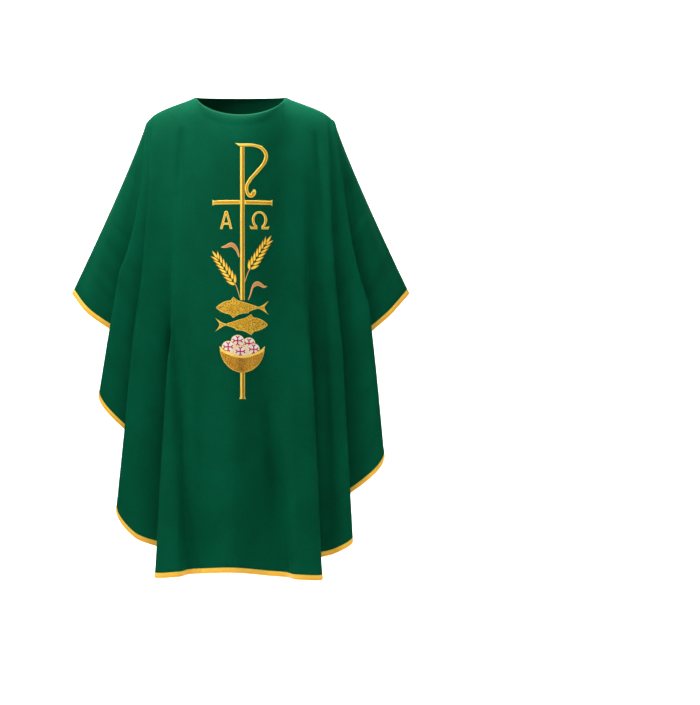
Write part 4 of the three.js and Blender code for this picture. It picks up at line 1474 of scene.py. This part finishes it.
@dataclass
class Embroidery(ClothPiece):
    """The stitched motif on the front panel, on its stabiliser."""

    materials: dict[str, Material]
    drape: Drape
    pitch: float = 1.3 * MM
    edge_pitch: float = 0.8 * MM
    ear_length: float = 0.103
    grain_pairs: int = 7
    eye_radius: float = 2.1 * MM
    fleece_thickness: float = 0.4 * MM

    def _lay(self, flat: Array, lift: Array) -> Array:
        """Points across and up, put onto the cloth at these distances from its outer face."""
        u, v = self.drape.locate(flat[:, 0], flat[:, 1])
        return self.drape.point(u, v) + self.drape.normal(u, v) * (HALF_CLOTH + lift)[:, None]

    def patch(self, name: str, outline: Outline, relief: Relief, base: float = 0.12 * MM,
              centre: tuple[float, float] | None = None) -> Piece:
        """A closed stitched patch with a rounded top, laid on the cloth.

        Args:
            name: the piece's name.
            outline: its outline.
            relief: how it stands up.
            base: how far off the cloth its underside lies.
            centre: where its motif coordinates start, or the middle of its outline.

        Returns:
            The new piece, with its two maps.
        """
        fine = outline.smoothed(self.edge_pitch)
        ring = np.concatenate(fine.loops)
        edges, runs = [], []
        for loop in fine.loops:
            start, n = len(edges), len(loop)
            edges += [(start + k, start + (k + 1) % n) for k in range(n)]
            runs += distance_along(loop).tolist()
        tree = KDTree(len(ring))
        for k, p in enumerate(ring):
            tree.insert((*p, 0), k)
        tree.balance()
        low, high = ring.min(0), ring.max(0)
        inner = [(x, y) for r, y in enumerate(np.arange(low[1], high[1], self.pitch * 0.87))
                 for x in np.arange(low[0] + (r % 2) * self.pitch / 2, high[0], self.pitch)
                 if tree.find((x, y, 0))[2] > 0.55 * self.pitch]
        laid = delaunay_2d_cdt([Vector(p) for p in [*ring.tolist(), *inner]], edges, [], 2, 1e-7)
        points = np.array([tuple(p) for p in laid[0]])
        used = self._inside(points, [tuple(f) for f in laid[2] if len(f) == 3], fine)
        count = len(points)
        found = [tree.find((*p, 0)) for p in points]
        inset = np.array([near[2] for near in found])
        top = self._lay(points, base + relief.at(inset))
        under = self._lay(points, np.full(count, base))
        faces = [t[::-1] for t in used] + [tuple(i + count for i in t) for t in used]
        rim: dict[tuple[int, int], tuple[int, int]] = {}
        for t in used:
            for a, b in zip(t, t[1:] + t[:1]):
                key = (min(a, b), max(a, b))
                rim[key] = (-1, -1) if key in rim else (a, b)
        faces += [(a, b, b + count, a + count) for a, b in rim.values() if a >= 0]
        made = new_mesh(name, np.concatenate([top, under]), faces)
        flat = np.array([(runs[near[1]], near[2]) for near in found])
        motif = points - (np.array(centre) if centre else (low + high) / 2)
        set_uv(made, np.concatenate([flat, flat]))
        set_uv(made, np.concatenate([motif, motif]), "motif")
        work = bmesh.new()
        work.from_mesh(made.data)
        bmesh.ops.recalc_face_normals(work, faces=work.faces)
        alone = [v for v in work.verts if not v.link_faces]
        bmesh.ops.delete(work, geom=alone, context="VERTS")
        work.to_mesh(made.data)
        work.free()
        soften(made, 48)
        return made

    @staticmethod
    def _inside(points: Array, triangles: list[tuple[int, ...]], outline: Outline) -> list[tuple[int, ...]]:
        """The triangles whose middles lie inside the outline.

        Args:
            points: the vertices, across and up.
            triangles: the vertex indices of each triangle.
            outline: the outline.

        Returns:
            Those triangles.
        """
        index = np.array(triangles)
        middles = points[index].mean(1)
        crossings = np.zeros(len(middles), int)
        for ring in outline.loops:
            a, b = ring, np.roll(ring, -1, 0)
            for (ax, ay), (bx, by) in zip(a, b):
                spans = (ay > middles[:, 1]) != (by > middles[:, 1])
                at = ax + (middles[:, 1] - ay) / ((by - ay) or 1e-15) * (bx - ax)
                crossings += spans & (middles[:, 0] < at)
        return [tuple(int(i) for i in t) for t, c in zip(index, crossings) if c % 2]

    def from_node(self, node: str, finish: str, slot: str, relief: Relief, **options: object) -> Piece:
        """A patch with a CAD node's own outline.

        Args:
            node: the node it stands for.
            finish: the key of its material.
            slot: the record's material slot.
            relief: how it stands up.
            **options: passed to patch.

        Returns:
            The new piece.
        """
        outline = Outline.of_node(node).grown(options.pop("grow", 0.0))
        made = self.patch(f"{node}_stitched", outline, relief, **options)
        return self.finish(made, finish, slot, node)

    def wheat(self, node: str, foot: tuple[float, float], lean: float) -> Piece:
        """An ear of wheat: pairs of plump grains up its axis and one at the tip, each its own little cushion.

        Args:
            node: the node it stands for.
            foot: where the ear starts, across and up.
            lean: how far it leans to the wearer's left, in degrees.

        Returns:
            The ear, as one piece.
        """
        turn = math.radians(lean)
        up = np.array([math.sin(turn), math.cos(turn)])
        side = np.array([math.cos(turn), -math.sin(turn)])
        pitch = self.ear_length / (self.grain_pairs + 1.4)
        grains = []
        for k in range(self.grain_pairs):
            size = 1 - 0.045 * k
            for sign, start, end in ((-1, 0.12, 1.9), (1, 0.34, 2.05)):
                root = foot + up * (k + start) * pitch + side * sign * 1.2 * MM
                tip = foot + up * (k + end) * pitch + side * sign * 15.0 * MM * size
                grains.append((root, tip, 4.1 * MM * size))
        crown = foot + up * (self.grain_pairs - 0.2) * pitch
        grains.append((crown, foot + up * (self.ear_length + 4 * MM), 3.4 * MM))
        pieces = []
        for number, (root, tip, width) in enumerate(grains):
            lift = 0.12 * MM + 0.35 * MM * (number % 2) + 0.1 * MM * (number % 3)
            pieces.append(self.patch(f"{node}_grain_{number}", self._grain(root, tip, width),
                                     Relief(1.1 * MM, 2.2 * MM), base=lift))
        select_only(pieces[0])
        for piece in pieces[1:]:
            piece.select_set(True)
        bpy.ops.object.join()
        pieces[0].name = pieces[0].data.name = f"{node}_stitched"
        return self.finish(pieces[0], "wheat", "pale_gold_thread", node)

    @staticmethod
    def _grain(root: Array, tip: Array, width: float) -> Outline:
        """The outline of one grain, fullest near its root, with this half width.

        Args:
            root: where the grain starts.
            tip: where it ends.
            width: its greatest half width.

        Returns:
            Its outline.
        """
        along = tip - root
        across = np.array([along[1], -along[0]]) / np.linalg.norm(along)
        t = np.linspace(0, 1, 12)[:, None]
        half = width * np.sin(np.pi * t**0.72).clip(0) ** 0.9 * (1 - 0.25 * t) + 0.12 * MM
        middle, bulge = root + along * t, across * half
        return Outline([np.concatenate([middle + bulge, (middle - bulge)[::-1][1:-1]])])

    def ribbon(self, node: str, line: list[tuple[float, float]], widths: list[float]) -> Piece:
        """A narrow stem along a line.

        Args:
            node: the node it stands for.
            line: its middle, across and up.
            widths: its half width at each point.

        Returns:
            The stem.
        """
        middle = np.array(line)
        along = unit(np.gradient(middle, axis=0))
        side = np.stack([along[:, 1], -along[:, 0]], -1) * np.array(widths)[:, None]
        made = self.patch(f"{node}_stitched", Outline([np.concatenate([middle + side, (middle - side)[::-1]])]),
                          Relief(0.7 * MM, 0.9 * MM))
        return self.finish(made, "leaf", "copper_thread", node)

    def rim(self) -> list[Piece]:
        """The bowl's pale rim with its two horns, and the pale fill between the hosts.

        Returns:
            The rim and the fill.
        """
        low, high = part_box("bowl_rim")
        centre, half = (low.x + high.x) / 2, (high.x - low.x) / 2
        rise, thick, horn = high.z - low.z, 2.9 * MM, 12 * MM
        across = np.linspace(1, -1, 41)
        inner = low.z + thick + (rise - thick) * np.abs(across) ** 2.3
        outer = low.z - 0.6 * MM + (rise - horn) * np.abs(across) ** 2.0
        squeeze = 1 - 0.02 * (1 - np.abs(across)) - 0.035
        lower = np.stack([centre + across * half * squeeze, outer], -1)
        upper = np.stack([centre + across * half, inner], -1)
        band = self.patch("bowl_rim_stitched", Outline([np.concatenate([upper, lower[::-1]])]),
                          Relief(1.4 * MM, 1.5 * MM), base=0.9 * MM)
        spots = [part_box(f"host_{n}") for n in HOSTS]
        crown = np.array(sorted(((lo.x + hi.x) / 2, (lo.z + hi.z) / 2 - 1 * MM) for lo, hi in spots))
        floor = np.stack([centre + across * half * 0.72, low.z + 2 * MM + (rise - 4 * MM) * (across * 0.72) ** 2], -1)
        fill = self.patch("host_underlay", Outline([np.concatenate([floor, crown])]),
                          Relief(0.5 * MM, 0.8 * MM), base=0.05 * MM)
        return [self.finish(band, "rim", "pale_gold_thread", "bowl_rim"),
                self.finish(fill, "underlay", "pale_gold_thread")]

    def bow(self) -> Piece:
        """The hooked top of the staff, with its pointed serif.

        Returns:
            The bow.
        """
        outline = Outline.of_node("staff_bow")
        low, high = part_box("staff_bow")
        ring = outline.loops[0]
        cut = ring[:, 0] < low.x + 6.4 * MM
        first = int(np.flatnonzero(cut)[0])
        ring = np.roll(ring, -first, axis=0)
        ring = ring[~np.roll(cut, -first)]
        tip = np.array([[low.x - 1.2 * MM, high.z + 1.6 * MM]])
        made = self.patch("staff_bow_stitched", Outline([np.concatenate([tip, ring])]), Relief(1.25 * MM, 1.9 * MM))
        return self.finish(made, "bar", "pale_gold_thread", "staff_bow")

    def eye(self, name: str, node: str, share: float) -> Piece:
        """A small dark knot for a fish's eye.

        Args:
            name: the piece's name.
            node: the fish.
            share: how far across the fish's box it is.

        Returns:
            The eye.
        """
        low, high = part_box(node)
        x = low.x + (high.x - low.x) * share
        z = (low.z + high.z) / 2 + 0.6 * MM
        angles = np.linspace(0, 2 * np.pi, 15)[:-1]
        ring = np.array([x, z]) + self.eye_radius * np.stack([np.cos(angles), np.sin(angles)], -1)
        made = self.patch(name, Outline([ring]), Relief(0.7 * MM, 1.2 * MM), base=1.0 * MM)
        return self.finish(made, "eye", "gold_thread")

    def stabiliser(self) -> Piece:
        """The fleece sheet behind the stitching, inside the front panel.

        Returns:
            The fleece.
        """
        low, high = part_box("embroidery_stabiliser")
        xs = np.linspace(low.x + 1 * MM, high.x - 1 * MM, 41)
        zs = np.linspace(high.z - 1 * MM, low.z + 1 * MM, 141)
        x, z = np.meshgrid(xs, zs)
        ragged = 1.2 * MM * np.sin(z * 160) * np.sin(z * 53 + 1)
        x = x + ragged * (np.abs(x - x.mean()) > 0.9 * (high.x - low.x) / 2)
        u, v = self.drape.locate(x.ravel(), z.ravel())
        gap = HALF_CLOTH + 0.5 * MM
        ripple = 0.15 * MM * np.sin(x.ravel() * 210) * np.sin(z.ravel() * 130)
        points = self.drape.point(u, v) - self.drape.normal(u, v) * (gap + 0.2 * MM + ripple)[:, None]
        made = new_sheet("embroidery_stabiliser_fleece", points.reshape(*x.shape, 3), np.stack([x, z], -1), False,
                         self.fleece_thickness, [self.materials["fleece"]])
        return self.finish(made, "fleece", "stabiliser_fleece", "embroidery_stabiliser")

    def build(self) -> list[Piece]:
        """Every patch of the motif.

        Returns:
            The patches, the fleece first.
        """
        staff_low, staff_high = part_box("staff")
        axis = ((staff_low.x + staff_high.x) / 2, staff_high.z)
        bar = Relief(1.25 * MM, 1.9 * MM)
        thin = Relief(0.95 * MM, 1.4 * MM)
        filled = Relief(1.3 * MM, 1.3 * MM, 1.5 * MM, 0.35 * MM)
        wafer = Relief(1.2 * MM, 1.4 * MM, 1.5 * MM, 0.25 * MM)
        made = [
            self.stabiliser(),
            self.bow(),
            *self.rim(),
            self.eye("upper_fish_eye", "upper_fish", 0.095),
            self.eye("lower_fish_eye", "lower_fish", 0.905),
        ]
        for nodes, finish, slot, relief, options in (
            ("staff bowl_stem", "staff", "gold_thread", bar, {"centre": axis}),
            ("crossbar_right crossbar_left", "bar", "gold_thread", bar, {}),
            ("first_letter", "letter", "gold_thread", thin, {}),
            ("last_letter", "letter", "pale_gold_thread", thin, {}),
            ("upper_leaf lower_leaf", "leaf", "copper_thread", thin, {}),
            ("upper_fish lower_fish", "fish", "gold_thread", filled, {}),
            ("bowl", "bowl", "gold_thread", filled, {}),
            (" ".join(f"host_{n}" for n in HOSTS), "host", "white_thread", wafer, {}),
            (" ".join(f"host_cross_{n}" for n in HOSTS), "cross", "red_thread", Relief(0.6 * MM, 0.8 * MM),
             {"base": 1.15 * MM, "grow": 0.45 * MM}),
        ):
            made += [self.from_node(node, finish, slot, relief, **options) for node in nodes.split()]
        low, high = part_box("upper_wheat_ear")
        made += self._wheat_and_stem("upper_wheat_ear", 1, (low.x + 6.0 * MM, low.z + 3.8 * MM), 32,
                                     staff_high.x + 0.6 * MM)
        low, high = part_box("lower_wheat_ear")
        made += self._wheat_and_stem("lower_wheat_ear", -1, (high.x - 5.6 * MM, low.z + 3.8 * MM), -34,
                                     staff_low.x - 0.6 * MM)
        return made

    def _wheat_and_stem(self, node: str, sign: int, foot: tuple[float, float], lean: float, edge: float) -> list[Piece]:
        """An ear and the stem that curves from its foot to the staff.

        Args:
            node: the ear's node.
            sign: 1 on the wearer's left of the staff, -1 on the right.
            foot: where the ear starts, across and up.
            lean: how far the ear leans to the wearer's left, in degrees.
            edge: how far across the staff's edge is.

        Returns:
            The stem and the ear.
        """
        stem = node.replace("ear", "stem")
        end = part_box(stem)[0].z
        line = [(foot[0] + (edge - foot[0]) * t**0.8, foot[1] + (end - foot[1]) * t)
                for t in np.linspace(-0.12, 1, 9).clip(0)]
        line[0] = (foot[0] + sign * 2.4 * MM, foot[1] + 4 * MM)
        widths = [0.9 * MM] * 7 + [0.8 * MM, 0.5 * MM]
        return [self.ribbon(stem, line, widths), self.wheat(node, foot, lean)]


# ---------------------------------------------------------------- the whole garment
@dataclass
class Chasuble:
    """Both panels, their trim and the motif, on one drape."""

    materials: dict[str, Material]
    flat_size: tuple[float, float] = (1.466, 1.265)

    def _drape(self, node: str, side: Side, folds: tuple[Fold, ...], creases: tuple[Crease, ...],
               neck: Neckline) -> Drape:
        """The drape of a panel, sized from its CAD box.

        Args:
            node: the panel's node.
            side: which way it faces.
            folds: its fold lines.
            creases: its grooves and valleys.
            neck: its neckline.

        Returns:
            The drape, kept calm round the motif on the front.
        """
        low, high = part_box(node)
        trim = 0.5 * MM
        depth = max(-low.y, high.y) - 1.5 * MM - SEAM_STANDOFF
        front_low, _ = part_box("front_panel")
        seam_end = (-front_low.z - trim) * SEAM_END_SHARE
        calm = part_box("embroidery_stabiliser")
        drape = Drape(side, folds, creases, neck, high.x - trim, -low.z - trim, depth, seam_end)
        if side is Side.FRONT:
            drape.calm_low, drape.calm_high = (calm[0].x, calm[0].z), (calm[1].x, calm[1].z)
        return drape

    def build(self) -> None:
        front = self._drape("front_panel", Side.FRONT, FRONT_FOLDS, FRONT_CREASES, Neckline(0.092, 0.057))
        back = self._drape("back_panel", Side.BACK, BACK_FOLDS, BACK_CREASES, Neckline(0.072, -0.006))
        right = ShoulderSeam(self.materials, "right_shoulder_seam", -1, front).build()
        left = ShoulderSeam(self.materials, "left_shoulder_seam", 1, front).build()
        for name, drape in (("front_panel", front), ("back_panel", back)):
            panel = Panel(self.materials, name, drape)
            cloth = panel.cloth()
            trim = [panel.binding(), panel.hem_stitches(), panel.facing(), panel.neck_stitches()]
            if drape is front:
                trim += Embroidery(self.materials, front).build()


SOFT_BOXES = (  # name, place, what it faces, its side and its power
    ("key", (-1.35, -1.0, 0.9), (0.0, 0.0, -0.4), 0.7, 32),
    ("fill", (2.2, -2.0, 0.7), (0.0, 0.0, -0.4), 1.4, 9),
    ("top", (0.0, 0.0, 1.05), (0.0, -0.05, -0.1), 0.7, 44),
    ("backdrop_left", (-2.2, 1.2, 1.9), (-1.6, 5.0, -0.2), 1.6, 140),
    ("backdrop_right", (2.2, 1.2, 1.9), (1.6, 5.0, -0.2), 1.6, 140),
)


@dataclass
class Studio:
    """A pale floor and backdrop, soft lights and the camera."""

    floor_z: float = -1.473
    floor_reach: float = 14.0
    backdrop_start: float = 3.5
    backdrop_curve: float = 1.5
    backdrop_top: float = 7.0
    eye: tuple[float, float, float] = (0.0, -5.0, -0.671)
    lens: float = 97.1
    shift: float = 0.155
    ambient: float = 0.2
    sky_seen: float = 0.75
    floor_seen: float = 0.3
    sun_power: float = 0.5
    sun_spread: float = 60
    sun_tilt: float = 4

    def build(self) -> None:
        """Sets the whole scene round the garment."""
        self._floor()
        for box in SOFT_BOXES:
            self._light(*box)
        sky = self._place("sky", bpy.data.lights.new("sky", "SUN"))
        sky.data.energy, sky.data.angle = self.sun_power, math.radians(self.sun_spread)
        sky.rotation_euler = (math.radians(self.sun_tilt), 0, 0)
        world = bpy.data.worlds.new("studio")
        bpy.context.scene.world = world
        world.use_nodes = True
        g = Graph(world.node_tree)
        g.feed(world.node_tree.nodes["Background"], {0: (1, 1, 1, 1), 1: self._glow(g, self.sky_seen)})
        data = bpy.data.cameras.new("camera")
        data.lens, data.sensor_width, data.shift_x = self.lens, 36, self.shift
        camera = self._place("camera", data)
        camera.location = self.eye
        camera.rotation_euler = (math.pi / 2, 0, 0)
        bpy.context.scene.camera = camera
        bpy.context.scene.view_settings.view_transform = "Standard"

    @staticmethod
    def _place(name: str, data: bpy.types.ID) -> Piece:
        """Puts a light or the camera into the scene.

        Args:
            name: its name.
            data: what it shows.

        Returns:
            The object.
        """
        made = bpy.data.objects.new(name, data)
        bpy.context.scene.collection.objects.link(made)
        return made

    def _glow(self, g: Graph, seen: float) -> Socket:
        """How bright a plain surface is: dim as a source of light, and brighter by this much when looked at."""
        return g.plus(self.ambient, g.mul(g.add("ShaderNodeLightPath").outputs["Is Camera Ray"], seen))

    def _floor(self) -> None:
        """A floor that sweeps up behind as a backdrop, with a large soft curve."""
        radius, back = self.backdrop_curve, self.backdrop_start
        arc = [(back + radius * math.sin(a), self.floor_z + radius * (1 - math.cos(a)))
               for a in np.linspace(0, math.pi / 2, 17)]
        profile = [(-self.floor_reach, self.floor_z), *arc, (back + radius, self.backdrop_top)]
        points = [(x, y, z) for y, z in profile for x in (-self.floor_reach, self.floor_reach)]
        faces = [(2 * k, 2 * k + 1, 2 * k + 3, 2 * k + 2) for k in range(len(profile) - 1)]
        floor = new_mesh("floor", np.array(points), faces)
        material, g, shader = new_material("pale_floor")
        g.feed(shader, {"Base Color": (0.93, 0.93, 0.93, 1), "Roughness": 0.9, "Emission Color": (1, 1, 1, 1),
                        "Emission Strength": self._glow(g, self.floor_seen)})
        floor.data.materials.append(material)

    def _light(self, name: str, place: tuple, aim: tuple, size: float, power: float) -> None:
        """A square soft box.

        Args:
            name: its name.
            place: where it hangs.
            aim: the point it faces.
            size: its side.
            power: its power in watts.
        """
        data = bpy.data.lights.new(name, "AREA")
        data.size, data.energy = size, power
        light = self._place(name, data)
        light.visible_camera = False
        light.location = place
        light.rotation_euler = (Vector(aim) - Vector(place)).to_track_quat("-Z", "Y").to_euler()


def make_materials() -> dict[str, Material]:
    """Every material, by the name its pieces ask for."""
    groups = Groups(weave_group(), satin_group(), tatami_group())
    return {key: finish.make(groups) for key, finish in FINISHES.items()}


def main() -> None:
    """Loads the frame and builds the garment and its studio round it."""
    logging.basicConfig(level=logging.INFO, format="%(message)s")
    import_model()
    Studio().build()
    Chasuble(make_materials()).build()


if __name__ == "__main__":
    main()
